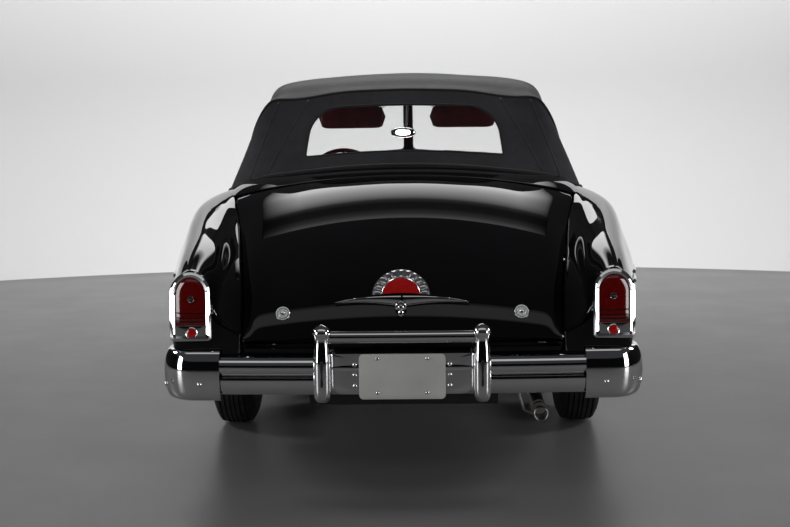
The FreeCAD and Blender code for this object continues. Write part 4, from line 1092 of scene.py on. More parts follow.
def side_opening(p):
    """Positive outside the side windows' opening, whose rear edge leans and rounds over at its top."""
    lean = max(0.0, p.z - 1.052) * 0.089
    corner = max(0.0, (p.z - OPENING_CORNER) / (OPENING_TOP - OPENING_CORNER))
    return max(p.y - OPENING_BACK + lean + 0.066 * corner**2, p.z - OPENING_TOP)


def deck_height(x, y):
    """The body's upper surface under the top, by the side's and the deck's lines."""
    valley, crest = side_at(y, "valley"), side_at(y, "crest")
    far = abs(x)
    if far >= valley.x:
        share = min((far - valley.x) / (crest.x - valley.x), 1.3)
        return valley.z + (crest.z - valley.z) * share
    mark = DECK.mark_of(y)
    brow_x, brow_z = DECK.at("share", mark) * valley.x, DECK.at("brow", mark) / 1000
    if far >= brow_x:
        return brow_z + (valley.z - brow_z) * (far - brow_x) / (valley.x - brow_x)
    crown = DECK.at("crown", mark) / 1000
    return crown - (crown - brow_z) * (far / brow_x) ** 2


HEADER_FOOT = Vector((0, -1.0, 1.085))
HEADER_HIP, HEADER_TOP = Vector((0.7, -0.86, 1.03)), Vector((0, -0.69, 1.475))
SCREEN_OUT = (HEADER_HIP - HEADER_FOOT).cross(HEADER_TOP - HEADER_FOOT).normalized()


def behind_screen(p):
    near = Vector((abs(p.x), p.y, p.z)) - HEADER_FOOT
    return -near.dot(SCREEN_OUT)


LIGHT_HALF_LOW, LIGHT_HALF_HIGH, LIGHT_LOW, LIGHT_HIGH, LIGHT_CORNER = 0.446, 0.418, 1.194, 1.425, 0.112
LIGHT_FOOT = 0.016


def backlight(p, grow=0.0):
    """Positive outside the rear window's outline, a rounded upper edge on a bowed foot."""
    if p.y < 1.01 or p.z < 1.0:
        return 1.0
    low = LIGHT_LOW + 0.026 * (1 - (p.x / LIGHT_HALF_LOW) ** 2) - grow
    half = LIGHT_HALF_LOW + (LIGHT_HALF_HIGH - LIGHT_HALF_LOW) * (p.z - LIGHT_LOW) / (LIGHT_HIGH - LIGHT_LOW)
    half, high, corner = half + grow, LIGHT_HIGH - 0.1 * p.x**2 + grow, LIGHT_CORNER + grow
    x = abs(p.x)
    upper = max(x - half, p.z - high)
    if x > half - corner and p.z > high - corner:
        upper = hypot(x - half + corner, p.z - high + corner) - corner
    if x > half - LIGHT_FOOT and p.z < low + LIGHT_FOOT:
        return max(hypot(x - half + LIGHT_FOOT, p.z - low - LIGHT_FOOT) - LIGHT_FOOT, upper)
    return max(upper, low - p.z)


print("rear window opening:", round(LIGHT_HIGH - LIGHT_LOW, 3), "m high")

# %% The cloth cut and fitted
def soft_top(rows):
    bm = outward_to(sheet_of(rows), UP)
    cut_by(bm, behind_screen)
    cut_by(bm, side_opening)
    cut_by(bm, lambda p: 1.0 if p.y < 0.6 else p.z - deck_height(p.x, p.y) - 0.003)
    cut_by(bm, backlight)
    return turn_edges(bm, 0.003, 0.006)


roof_rows = [mirrored(top_half(y)) for y in spread(-0.7, SEAM_Y, 131)]
cloth_rows = [[sagged(p) for p in row] for row in roof_rows + curtain_rows()[1:]]
canvas = piece("soft_top_cloth", soft_top(cloth_rows), TOP_CLOTH, angle=60)
thicken(canvas, 0.0022)
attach(canvas, "chassis")
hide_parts("soft_top")

# %% [markdown]
# ### Seams, binding and hem
# The curtain is sewn to the roof under a raised binding that runs over the last bow from side to side. Its
# hem is doubled and stiffened where it meets the deck, and two flat seams run down beside the window.

# %% Binding over the last bow, hem and flat seams
def curtain_point(index, share):
    """A point of the curtain: index along the seam, share from the seam down to the hem."""
    return sagged(SEAM_LINE[index].lerp(HEM_EDGE[index], share))


def down_the_body(index):
    """The share of a curtain line at which it meets the deck."""
    def above_deck(share):
        p = curtain_point(index, share)
        return p.z > deck_height(p.x, p.y) + 0.004

    return halved(0.0, 1 + PAST_HEM, above_deck)


def cloth_out(index, share):
    """The way out of the cloth at a point of the curtain."""
    a, b = curtain_point(max(index - 1, 0), share), curtain_point(min(index + 1, MIDDLE), share)
    c, d = curtain_point(index, max(share - 0.02, 0)), curtain_point(index, share + 0.02)
    out = (b - a).cross(d - c).normalized()
    return out if out.dot(Vector((a.x, 0.3, 0.4))) > 0 else -out


seam_line = mirrored([sagged(p) for p in SEAM_LINE[6:]])
middle = Vector((0, 0.6, 1.05))
seam_ups = [(Vector((p.x, p.y + 0.1, p.z)) - middle).normalized() for p in seam_line]
binding = moulding([p + up * 0.0005 for p, up in zip(seam_line, seam_ups)], seam_ups, bead(0.0075, 0.0045))
hem_half, hem_out = [], []
for k in range(TOP_STEPS[0], MIDDLE + 1, 2):
    share = down_the_body(k)
    out = cloth_out(k, share)
    hem_half.append(curtain_point(k, share) + out * 0.0012 + Vector((0, 0, 0.0065)))
    hem_out.append(out)
hem_line = mirrored(hem_half)
hem_ups = mirrored(hem_out)
merge_into(binding, moulding(hem_line, hem_ups, bead(0.0095, 0.0042)))
hem_piece = fitted("top_binding_and_hem", binding, TOP_BINDING, angle=None)


def flat_seam(start_index, stop_index, from_share):
    """A narrow doubled strip of cloth down the curtain."""
    points, ups = [], []
    for step in range(25):
        index = start_index + (stop_index - start_index) * step / 24
        low, high = int(index), min(int(index) + 1, MIDDLE)
        share = from_share + (0.94 * down_the_body(low) - from_share) * step / 24
        points.append(curtain_point(low, share).lerp(curtain_point(high, share), index - low))
        ups.append(cloth_out(low, share))
    return moulding(points, ups, bead(0.0055, 0.0016, 0.0008, 6))


seams = joined(flat_seam(46, 44, 0.03), flat_seam(39, 37, 0.03))
seam_piece = fitted("curtain_flat_seams", both_hands(seams), TOP_CLOTH, angle=None)
print("binding and hem sewn:", round(length_of(hem_line), 2), "m of hem")

# %% Rear window: clear pane and its bound edge
WINDOW_Z = 1.315


def window_outline(grow=0.0, many=120):
    """Points round the rear window on the curtain, found by looking out from its middle."""
    points = []
    for a in degrees(0, 360, many)[:-1]:
        def place(far):
            return Vector((0.6 * far * cos(a), 1.2, WINDOW_Z + 0.2 * far * sin(a)))

        edge = place(halved(0.0, 1.0, lambda far: backlight(place(far), grow) <= 0, 26))
        points.append((edge.x, edge.z))
    return points


def on_curtain(x, z):
    """The curtain's surface behind a point (x, z)."""
    side = abs(x)
    for index in range(30, MIDDLE):
        a, b = SEAM_LINE[index:index + 2]
        ha, hb = HEM_EDGE[index:index + 2]
        sa, sb = (a.z - z) / (a.z - ha.z), (b.z - z) / (b.z - hb.z)
        xa, xb = a.x + (ha.x - a.x) * sa, b.x + (hb.x - b.x) * sb
        if min(xa, xb) <= side <= max(xa, xb):
            f = (side - xa) / (xb - xa) if xb != xa else 0
            return Vector((x, (a.y + (ha.y - a.y) * sa) * (1 - f) + (b.y + (hb.y - b.y) * sb) * f, z))
    return Vector((x, 1.1, z))


def window_pane(sink):
    rows = []
    outline = window_outline(0.012)
    for share in (1.0, 0.985, 0.96, 0.9, 0.8, 0.65, 0.5, 0.35, 0.2, 0.05):
        row = [on_curtain(x * share, WINDOW_Z + (z - WINDOW_Z) * share) - BACK * sink for x, z in outline]
        rows.append(row + row[:1])
    bm = sheet_of(rows)
    bmesh.ops.remove_doubles(bm, verts=bm.verts, dist=1e-6)
    inner = [edge for edge in bm.edges if edge.is_boundary and edge.calc_length() < 0.004
             and abs(edge.verts[0].co.x) < 0.1 and abs(edge.verts[0].co.z - WINDOW_Z) < 0.03]
    bmesh.ops.holes_fill(bm, edges=inner)
    return outward_to(bm, BACK)


pane = piece("rear_window_pane", window_pane(0.004), GLASS)
thicken(pane, 0.003)
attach(pane, "chassis")
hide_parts("rear_window")
edge_points = [on_curtain(x, z) for x, z in window_outline(0.0)]
slope = Vector((0, 0.74, 0.67))
rim = moulding(edge_points, [slope] * len(edge_points), bead(0.005, 0.0022, 0.003, 6), closed=True)
window_edge = fitted("rear_window_binding", rim, TOP_BINDING, angle=None)
print("rear window is", round(2 * max(p.x for p in edge_points), 3), "m wide")

# %% [markdown]
# ## Wheels and tyres
# A cross-ply tyre of the time is tall and round-shouldered, with straight ribs. The section is drawn once
# and turned about the axle; the ribs are grooves in the section itself, so they run true all the way round.

# %% Tools: turning a section about an axle
def turned(outline, centre, steps=96):
    """A ring from (x, radius) points about an axle along X through centre."""
    rows = [[centre + Vector((x, r * sin(a), r * cos(a))) for x, r in outline]
            for a in degrees(0, 360, steps)[:-1]]
    return outward(sheet_of(rows, closed=True))


def smooth_pairs(pairs, count):
    """(a, b) pairs, made dense along a smooth line."""
    made = through([Vector((a, b, 0)) for a, b in pairs], [count] * (len(pairs) - 1))
    return [(p.x, p.y) for p in made]


TYRE_R, TYRE_HALF, RIM_R = 0.352, 0.092, 0.19


def tyre_outline():
    w, r, rim = TYRE_HALF, TYRE_R, RIM_R
    half = smooth_pairs([(w - 0.03, rim + 0.002), (w - 0.01, rim + 0.016), (w - 0.001, rim + 0.062),
                         (w - 0.006, r - 0.046), (w - 0.02, r - 0.016)], 7)
    half.append((w - 0.026, r - 0.008))
    for x in (0.052, 0.03, 0.008):
        rib, groove = r - 0.0005 - 0.006 * (x / 0.066) ** 2, 0.007
        half += [(x + 0.0045, rib), (x + 0.0035, rib - groove),
                 (x - 0.0015, rib - groove), (x - 0.0025, rib)]
    return half + [(-x, rr) for x, rr in reversed(half)] + [half[0]]


print("tyre is", 2 * TYRE_R, "m across and", 2 * TYRE_HALF, "m wide")

# %% Rims, caps and drums
RIM = [(-0.066, RIM_R + 0.01), (-0.066, RIM_R - 0.004), (-0.05, RIM_R - 0.008), (0.03, RIM_R - 0.03),
       (0.05, RIM_R - 0.01), (0.062, RIM_R - 0.006), (0.07, RIM_R + 0.004), (0.066, RIM_R + 0.01)]
DISC = [(0.058, RIM_R - 0.012), (0.044, 0.168), (0.036, 0.15), (0.044, 0.138), (0.046, 0.12)]
CAP = smooth_pairs([(0.046, 0.128), (0.058, 0.122), (0.064, 0.096), (0.072, 0.06), (0.078, 0.03),
                    (0.08, 0.0005)], 6)
TRIM_RING = smooth_pairs([(0.06, RIM_R - 0.002), (0.074, RIM_R - 0.008), (0.07, RIM_R - 0.024),
                          (0.056, RIM_R - 0.032)], 6)
DRUM = [(-0.052, 0.034), (-0.052, 0.142), (-0.034, 0.15), (0.01, 0.15), (0.03, 0.12), (0.036, 0.034)]


def road_wheel(name, body):
    low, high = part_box(f"tyre_{name}")
    centre = Vector([(a + b) / 2 for a, b in zip(low, high)])
    out = 1 if centre.x > 0 else -1

    def ring(outline):
        return turned([(out * x, r) for x, r in outline], centre)

    rubber = piece(f"{name}_tyre", turned(tyre_outline(), centre, 144), TYRE_RUBBER, angle=38)
    steel = piece(f"{name}_rim", joined(ring(RIM), ring(DISC)), BODY_BLACK, angle=40)
    dome = piece(f"{name}_hubcap", ring(CAP), CHROME, angle=50)
    trim = piece(f"{name}_trim_ring", ring(TRIM_RING), CHROME, angle=50)
    brake = piece(f"{name}_drum", ring(DRUM), CHASSIS, angle=40)
    for part, wall in ((steel, 0.003), (dome, 0.0012), (trim, 0.0012)):
        thicken(part, wall, 0.0)
    for part in (rubber, steel, dome, trim, brake):
        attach(part, body)
    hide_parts(f"tyre_{name}")
    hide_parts(f"wheel_{name}")


for end in ("front", "rear"):
    for side in ("left", "right"):
        road_wheel(f"{end}_{side}", f"{end}_wheel_{side}")
print("four road wheels fitted")
# %% [markdown]
# ## Bright parts at the rear
# Bumper, lamps, badge and handle are pressings and castings with plated skins. Most are one section that
# follows a path, or rings stacked along a line, so two small tools make nearly all of them.

# %% Tools: a section along a path, and stacked rings
def section_along(path, outline):
    """Sweeps an (outward, z) outline along a plan path of (x, y) points; outward is to the path's right."""
    rows = []
    for i, (x, y) in enumerate(path):
        (x0, y0), (x1, y1) = path[max(i - 1, 0)], path[min(i + 1, len(path) - 1)]
        out = Vector((y1 - y0, x0 - x1, 0)).normalized()
        row = [Vector((x, y, z)) + out * o for o, z in outline]
        rows.append(row + row[:1])
    return closed_up(sheet_of(rows))


def rounded(turn, power):
    """cos or sin of a turn with its curve squared off by power."""
    return copysign(abs(turn) ** power, turn)


def ring_stack(centre, rows, square, steps=40):
    """A closed form through rings of (height, depth centre, half width, half depth), bottom to top."""
    lines = through([Vector(row[:3]) for row in rows], [5] * (len(rows) - 1))
    deep = through([Vector((row[0], row[1], row[3])) for row in rows], [5] * (len(rows) - 1))
    made = []
    for a, b in zip(lines, deep):
        middle = Vector((centre.x, centre.y + a.y, a.x))
        row = [middle + Vector((rounded(cos(turn), square) * max(a.z, 0.0004),
                                rounded(sin(turn), square) * max(b.z, 0.0004), 0))
               for turn in degrees(0, 360, steps)[:-1]]
        made.append(row + row[:1])
    return closed_up(sheet_of(made))

# %% Rear bumper: the long bar and its corner blocks
REAR_FACE = 2.564


def bar_path(half, face, bow, many=60):
    return [(half * s, face - bow * s * s) for s in spread(-1, 1, many)]


def bar_outline(low, high):
    """A half-round upper roll over a lower band that is tucked under, with the seam between them."""
    seam = low + 0.066
    band = smooth_pairs([(-0.026, low), (-0.012, low + 0.014), (-0.001, seam - 0.008)], 8)
    roll = [(-0.03 + 0.036 * cos(a), (seam + high) / 2 + (high - seam) / 2 * sin(a))
            for a in degrees(-72, 100, 18)]
    lower = [(-0.046, low + 0.016), (-0.032, low)] + band + [(-0.003, seam - 0.001)]
    return lower + roll + [(-0.046, high - 0.012)]

# %% Rear bumper: corner blocks, guards and pads
def corner_outline(low, high):
    """The corner block's wall: a rolled top lip, a face that bellies out, and a lower edge tucked under."""
    face = smooth_pairs([(-0.04, low), (-0.02, low + 0.01), (-0.006, low + 0.042), (0, low + 0.092),
                        (-0.003, high - 0.05), (-0.012, high - 0.02), (-0.022, high - 0.005),
                        (-0.034, high - 0.001)], 5)
    lip = [(-0.042, high - 0.005), (-0.044, high - 0.014), (-0.038, high - 0.012)]
    inner = [(-0.026, high - 0.012), (-0.016, high - 0.028), (-0.0065, high - 0.056), (-0.0035, low + 0.092),
             (-0.01, low + 0.044), (-0.024, low + 0.013), (-0.04, low + 0.004)]
    return face + lip + inner


def corner_block(face, out, end_x, low, high):
    known = [(0.668, 0.01), (0.745, 0.014), (0.815, 0.024), (end_x - 0.038, 0.05), (end_x - 0.01, 0.092),
             (end_x, 0.17)]
    plan = [(x, face - out * back) for x, back in smooth_pairs(known, 8)]
    return section_along(plan[::-1] if out > 0 else plan, corner_outline(low, high))


def guard(x, face, out, low, high):
    """An upright with a ball for its head, a narrow neck and a full foot."""
    tall = high - low
    rows = [(low, 0.02, 0.004, 0.004), (low + 0.004, 0.021, 0.019, 0.019), (low + 0.02, 0.024, 0.029, 0.03),
            (low + 0.055, 0.026, 0.0325, 0.034), (low + tall * 0.5, 0.026, 0.0325, 0.034),
            (low + tall * 0.66, 0.024, 0.03, 0.031), (high - 0.062, 0.022, 0.0265, 0.028),
            (high - 0.05, 0.022, 0.0272, 0.029), (high - 0.032, 0.024, 0.033, 0.034),
            (high - 0.012, 0.024, 0.0245, 0.026), (high - 0.003, 0.024, 0.01, 0.011),
            (high, 0.024, 0.001, 0.001)]
    rows = [(z, out * back, wide, deep) for z, back, wide, deep in rows]
    return ring_stack(Vector((x, face, 0)), rows, 0.86)


PAD_HALF, PAD_OUT = 0.0125, 0.0488


def guard_pads(x, face, out, low, high):
    """The black rubber strips let into the two guards' faces."""
    both = bmesh.new()
    for middle in (x, -x):
        rows = []
        for k, z in enumerate(spread(low, high, 24)):
            end = min(1.0, min(k, 24 - k) / 3)
            half = PAD_HALF * sqrt(max(0.02, 1 - (1 - end) ** 2))
            rows.append([Vector((middle + half * sin(a), face + out * (PAD_OUT + PAD_HALF * cos(a)), z))
                         for a in degrees(-90, 90, 8)])
        merge_into(both, outward_to(sheet_of(rows), BACK * out))
    return both

# %% Rear bumper: the whole bar
def bumper_chrome(face, out, end_x, low, high, guard_x, guard_low, guard_high):
    path = bar_path(0.715, face, out * 0.025)
    bm = section_along(path[::-1] if out > 0 else path, bar_outline(low, high))
    merge_into(bm, both_hands(corner_block(face, out, end_x, low - 0.024, high + 0.026)))
    return joined(bm, *[guard(x, face, out, guard_low, guard_high) for x in (-guard_x, guard_x)])


bar = bumper_chrome(REAR_FACE, 1, 0.89, 0.389, 0.53, 0.289, 0.37, 0.657)
rear_bumper = fitted("rear_bumper_chrome", bar, CHROME, replaces=["rear_bumper"], angle=42)
print("rear bumper width:", round(max(v.co.x for v in rear_bumper.data.vertices) * 2, 3), "m")

# %% Rear bumper: cross bar, number-plate panel and bolts
def rounded_panel(half, low, high, y, thickness, corner_low, corner_high, bow=0.0):
    """An upright plate with rounded corners and softened edges, as (x, z) rings from rim to middle."""
    outline = []
    for cx, cz, r, start in ((half - corner_high, high - corner_high, corner_high, 0),
                             (corner_high - half, high - corner_high, corner_high, 90),
                             (corner_low - half, low + corner_low, corner_low, 180),
                             (half - corner_low, low + corner_low, corner_low, 270)):
        outline += [(cx + r * cos(a), cz + r * sin(a)) for a in degrees(start, start + 90, 8)]
    middle = (low + high) / 2
    rows = []
    soft = min(0.0012, thickness / 2)
    for share, depth in ((1.0, -thickness), (1.0, -soft), (1 - 0.3 * soft / half, -0.3 * soft),
                         (1 - soft / half, 0), (0.8, 0), (0.4, 0), (0.02, 0)):
        row = [Vector((x * share, y + depth + bow * (1 - (x * share / half) ** 2),
                       middle + (z - middle) * share)) for x, z in outline]
        rows.append(row + row[:1])
    return closed_up(sheet_of(rows))


def bolts_at(places, y, radius, high):
    """Dome bolts at (x, z) places on an upright face that looks back."""
    return joined(*[dome_bolt(Vector((x, y, z)), BACK, radius, high) for x, z in places])


roll = [(-0.008 + 0.02 * cos(a), 0.607 + 0.0225 * sin(a)) for a in degrees(-80, 80, 14)]
cross = section_along(bar_path(0.266, REAR_FACE + 0.02, 0.003)[::-1],
                      [(-0.022, 0.586), (-0.012, 0.584)] + roll + [(-0.012, 0.63), (-0.022, 0.628)])
merge_into(cross, rounded_panel(0.26, 0.396, 0.545, 2.5665, 0.004, 0.045, 0.006))
PANEL_BOLTS = [(x, z) for x in (-0.172, 0.172) for z in (0.427, 0.466, 0.505)]
merge_into(cross, bolts_at(PANEL_BOLTS, 2.5665, 0.0085, 0.006))
for x in (-0.868, 0.868):
    merge_into(cross, dome_bolt((x, 2.5165, 0.432), (copysign(0.55, x), 1, 0), 0.0085, 0.006))
merge_into(cross, bolts_at([(x, 0.432) for x in (-0.742, 0.742)], 2.5475, 0.0085, 0.006))
fitted("rear_cross_bar_and_panel", cross, CHROME, angle=42)
fitted("rear_guard_pads", guard_pads(0.289, REAR_FACE, 1, 0.432, 0.53), SEAL_RUBBER, angle=None)
PLATE_PAINT = enamel("pale_plate_paint", (0.45, 0.45, 0.44), 0.3)
fitted("blank_number_plate", rounded_panel(0.157, 0.378, 0.544, 2.573, 0.002, 0.016, 0.016), PLATE_PAINT)
PLATE_SCREWS = [(x, z) for x in (-0.09, 0.09) for z in (0.402, 0.528)]
fitted("plate_screws", bolts_at(PLATE_SCREWS, 2.5732, 0.007, 0.0045), CHROME)
print("panel and plate held by", len(PANEL_BOLTS) + len(PLATE_SCREWS), "bolts and screws")

# %% [markdown]
# ### Tail lamps
# A tall arched bezel of bright metal stands on the end of each rear fender. Inside it sit a dark red lens
# with three fine ribs low down, a small dark eye in a bright ring, and under them a round red reflector
# on the plain lower part of the bezel.

# %% Tools: arched outlines on the end of the fender
LAMP_X = (0.7, 0.847)
LAMP_Z = (0.59, 0.838)
LAMP_Y = 2.5
LENS_X = 0.7735


def arched(x_low, x_high, z_low, z_high, inset=0.0, corner=0.012, many=15):
    """An upright outline with a round head and small lower corners, anticlockwise, as (x, z)."""
    x0, x1, z0, z1 = x_low + inset, x_high - inset, z_low + inset, z_high - inset
    middle, half = (x0 + x1) / 2, (x1 - x0) / 2
    head = half * 1.15
    points = [(middle + half * cos(a), z1 - head + head * sin(a)) for a in degrees(0, 180, 2 * many)]
    for cx, start in ((x0 + corner, 180), (x1 - corner, 270)):
        points += [(cx + corner * cos(a), z0 + corner + corner * sin(a))
                   for a in degrees(start, start + 90, 6)]
    return points


def lamp_depth(x, z):
    """How far back a lamp's face lies: it follows the fender's round end."""
    round_x = 0.001 * ((x - 0.776) / 0.075) ** 2
    round_z = 0.004 * max(0, (z - 0.66) / 0.19) ** 2
    return LAMP_Y + 0.06 * (LAMP_Z[1] - z) - round_x - round_z


def arched_rings(rings):
    """Rings of (inset at the outer side, inset at the inner side, out), from the fender to the lens."""
    rows = []
    for outer_inset, inner_inset, out in rings:
        outlines = [arched(*LAMP_X, *LAMP_Z, inset, max(0.004, 0.016 - inset * 0.4))
                    for inset in (inner_inset, outer_inset)]
        row = []
        for (x0, z0), (x1, z1) in zip(*outlines):
            share = min(max((x0 - LAMP_X[0]) / (LAMP_X[1] - LAMP_X[0]), 0), 1)
            x, z = x0 + (x1 - x0) * share, z0 + (z1 - z0) * share
            row.append(Vector((x, lamp_depth(x, z) + out, z)))
        rows.append(row + row[:1])
    return closed_up(sheet_of(rows))


def lens_shell(low, high, half, bulge, out):
    """A lens with its own curve, filling the bezel from low to high."""
    rows = []
    for up in spread(0, 1, 32):
        z = low + (high - low) * up
        head = min(1.0, (high - z) / (half * 1.15))
        wide = half * sqrt(max(0.0004, 1 - (1 - head) ** 2))
        row = []
        for s in spread(-1, 1, 16):
            x = LENS_X + wide * s
            lift = bulge * (1 - s * s) * min(1, 4 * head, 8 * up + 0.2)
            row.append(Vector((x, lamp_depth(x, z) + out + lift, z)))
        rows.append(row)
    return outward_to(sheet_of(rows), BACK)

# %% Tail lamps: bezel, lens, ribs, eye and reflector
bezel = arched_rings([(-0.003, -0.003, -0.03), (-0.003, -0.003, 0.002), (-0.0022, -0.0022, 0.0038),
                      (-0.001, -0.001, 0.0048), (0.0095, 0.0048, 0.0092), (0.0102, 0.0056, 0.0092),
                      (0.016, 0.016, 0.0052), (0.0168, 0.0168, 0.003), (0.017, 0.017, -0.006)])
LOWER_Y = LAMP_Y + 0.0165
reflector_at = Vector((0.77, LOWER_Y, 0.6175))
eye_at = Vector((0.769, lamp_depth(0.769, 0.742) + 0.011, 0.742))
joined(bezel, moved(rounded_panel(0.0605, 0.596, 0.646, LOWER_Y, 0.012, 0.01, 0.004, 0.002), x=LENS_X),
       spun([(-0.004, 0.0235), (0.0035, 0.0225), (0.005, 0.0205), (0.0035, 0.0185), (0.0, 0.0175)],
            reflector_at, BACK, 40),
       spun([(-0.006, 0.0125), (0.003, 0.012), (0.0045, 0.0105), (0.003, 0.0088), (0.0, 0.008)],
            eye_at, BACK, 32))
fitted("tail_lamp_bezels", both_hands(bezel), CHROME, replaces=["tail_lamps"], angle=16)
lenses = lens_shell(0.645, 0.823, 0.059, 0.0135, -0.003)
fitted("tail_lamp_lenses", both_hands(lenses), RED_LENS, angle=None)
# The lens ribs are near black, not red: painted shade along each rib.
RIB_SHADE_PAINT = enamel("lens_rib_shadow", (0.006, 0.001, 0.001), 0.3)
ribs = bmesh.new()
for z in (0.66, 0.674, 0.692):
    points = []
    for s in spread(-1, 1, 20):
        x = LENS_X + s * 0.0575
        points.append(Vector((x, lamp_depth(x, z) + 0.0005 + 0.012 * (1 - s * s), z)))
    merge_into(ribs, moulding(points, [BACK] * 21, bead(0.0022, 0.0022)))
fitted("tail_lamp_lens_ribs", both_hands(ribs), RIB_SHADE_PAINT, angle=None)
EYE_GLASS = lens("blue_black_eye", (0.004, 0.006, 0.016), 0.03)
REFLECTOR_RED = lens("bright_red_reflector", (0.55, 0.006, 0.006), 0.1)
eye = spun([(-0.002, 0.0082), (0.002, 0.0078), (0.005, 0.005), (0.006, TIP)], eye_at, BACK, 28)
fitted("tail_lamp_eyes", both_hands(eye), EYE_GLASS)
reflector = spun([(-0.002, 0.0178), (0.003, 0.0172), (0.0055, 0.012), (0.0066, 0.006), (0.007, TIP)],
                 reflector_at, BACK, 36)
fitted("round_reflectors", both_hands(reflector), REFLECTOR_RED)
print("tail lamps:", LAMP_Z[1] - LAMP_Z[0], "m high")

# %% [markdown]
# ### Badge, handle and rosettes on the lid
# The badge is a fluted half ring of bright metal around a red glass centre, and it carries no letters. The
# handle below it is one long casting, thick in the middle and drawn out to thin tips, and its turning knob
# stands in front. Two clear rosettes in bright rims sit left and right.

# %% Badge
def lid_face(x, z):
    """The lid's outer surface behind a point (x, z)."""
    return Vector((x, halved(2.05, 2.53, lambda y: deck_height(x, y) > z, 22), z))


BADGE_X, BADGE_Z, BADGE_WIDE, BADGE_HIGH = 0.004, 0.735, 0.1035, 0.078
LID_NORMAL = Vector((0, 0.72, 0.69)).normalized()


def badge_point(a, share, out):
    """A point of the badge at angle a, share of the way out to its rim, and out from the lid."""
    on = lid_face(BADGE_X + BADGE_WIDE * share * cos(a), BADGE_Z + BADGE_HIGH * share * sin(a))
    return on + LID_NORMAL * out


FLUTES = 11


def flute(index):
    """One raised flute of the half ring, with a round nose at its rim."""
    a0, a1 = pi * index / FLUTES, pi * (index + 1) / FLUTES
    rows = []
    for k in range(9):
        share = 0.71 + 0.29 * k / 8
        end = sin(pi * min(1, (k + 0.6) / 3.0) / 2) * (1 if k < 7 else 0.75 if k == 7 else 0.35)
        rows.append([badge_point(a0 + (a1 - a0) * j / 8, share, 0.006 + 0.0065 * end * sin(pi * j / 8))
                     for j in range(9)])
    return outward_to(sheet_of(rows), LID_NORMAL)


badge = joined(*[flute(index) for index in range(FLUTES)])
wall = [[badge_point(a, share, out) for a in degrees(0, 180, 44)]
        for share, out in ((1.0, 0.006), (1.03, 0.006), (1.05, 0.003), (1.05, -0.012))]
merge_into(badge, outward_to(sheet_of(wall), LID_NORMAL))
ring = [badge_point(a, 0.695, 0.008) for a in degrees(0, 180, 36)]
merge_into(badge, moulding(ring, [LID_NORMAL] * 37, bead(0.0035, 0.0045, 0.008)))
SATIN_CHROME = plated("satin_chrome", (0.86, 0.86, 0.87), 0.16, 0.26)
fitted("lid_badge_flutes", badge, SATIN_CHROME, body="deck_lid")
heart = []
for k in range(10):
    share = 0.68 * sin(pi / 2 * (9 - k) / 9) + 0.004
    heart.append([badge_point(a, share, 0.006 + 0.012 * (k / 9) ** 0.6) for a in degrees(0, 180, 36)])
heart = outward_to(sheet_of(heart), LID_NORMAL)
fitted("lid_badge_centre", heart, REFLECTOR_RED, body="deck_lid", angle=None)

# %% Handle and rosettes
HANDLE_Z = 0.708


def handle_half(side):
    """Half of the handle: rings from the middle out to the tip, thin and slightly drooping."""
    rows = []
    for s in spread(0, 1, 24):
        x = side * (0.004 + 0.244 * s)
        high = 0.015 * (1 - s) ** 1.4 + 0.0065 * sqrt(max(0.02, 1 - s ** 6))
        z = HANDLE_Z + 0.007 * sin(pi * s) - 0.002 * s
        on = lid_face(x, z)
        deep = 0.02 - 0.009 * s
        row = [on + LID_NORMAL * (0.012 - 0.004 * s + deep * (0.1 + 0.5 * cos(a))) + UP * (high * sin(a))
               for a in degrees(0, 360, 16)[:-1]]
        rows.append(row + row[:1])
    return closed_up(sheet_of(rows))


boss_at = lid_face(0.004, 0.7) + BACK * 0.01
foot_at = lid_face(0.004, 0.676) + BACK * 0.006
handle = joined(
    handle_half(1), handle_half(-1),
    spun([(-0.012, 0.024), (0.01, 0.022), (0.018, 0.019), (0.022, 0.01), (0.024, TIP)],
         boss_at, BACK, 36),
    spun([(0.016, 0.0105), (0.034, 0.0095), (0.038, 0.0075), (0.039, TIP)], boss_at, BACK, 24),
    spun([(-0.008, 0.013), (0.012, 0.012), (0.018, 0.008), (0.019, TIP)], foot_at, BACK, 24))
fitted("lid_handle", handle, CHROME, body="deck_lid")

rims, glasses = bmesh.new(), bmesh.new()
for x in (-0.44, 0.44):
    at = lid_face(x, 0.676)
    way = Vector((0, 0.86, 0.5))
    merge_into(rims, spun([(-0.006, 0.029), (0.004, 0.028), (0.007, 0.0255), (0.007, 0.023), (0.004, 0.0215),
                           (0.001, 0.0205)], at, way, 44))
    merge_into(rims, spun([(0.002, 0.009), (0.009, 0.0085), (0.012, 0.006), (0.013, TIP)], at, way, 24))
    merge_into(glasses, spun([(-0.001, 0.0212), (0.003, 0.0205), (0.007, 0.015), (0.009, 0.009),
                              (0.004, 0.008)], at, way, 40))
fitted("lid_rosette_rims", rims, CHROME, body="deck_lid")
fitted("lid_rosette_glasses", glasses, CLEAR_LENS, body="deck_lid", angle=None)
print("badge, handle and rosettes ride on the lid")

# %% Exhaust: the pipe's rolled lip, and its hanger
end_face = Vector((-0.515, 2.417, 0.284))
lip = spun([(-0.035, 0.0245), (-0.003, 0.0268), (0.001, 0.0265), (0.002, 0.025), (0.0, 0.0225),
            (-0.05, 0.0215)], end_face, BACK, 40)
hanger = tube(((-0.44, 2.34, 0.42), (-0.44, 2.34, 0.335), (-0.455, 2.34, 0.286), (-0.49, 2.34, 0.27)),
              0.006, many=12)
clamp = spun([(-0.01, 0.0285), (-0.01, 0.03), (0.01, 0.03), (0.01, 0.0285)],
             (-0.515, 2.34, 0.2845), BACK, 36)
bracket = rounded_panel(0.02, 0.375, 0.428, 2.345, 0.006, 0.006, 0.006)
fitted("exhaust_lip_and_hanger", joined(lip, hanger, clamp, bracket), STEEL)
print("exhaust end reaches y", round(end_face.y, 3))

# %% [markdown]
# ## Windshield
# The screen is two flat panes that meet at a slim post, in a painted frame with bright mouldings. The CAD
# frame and panes have the right shape, so they stay and take a finish, and the mouldings, wipers, mirror
# and sun visors are added to them.

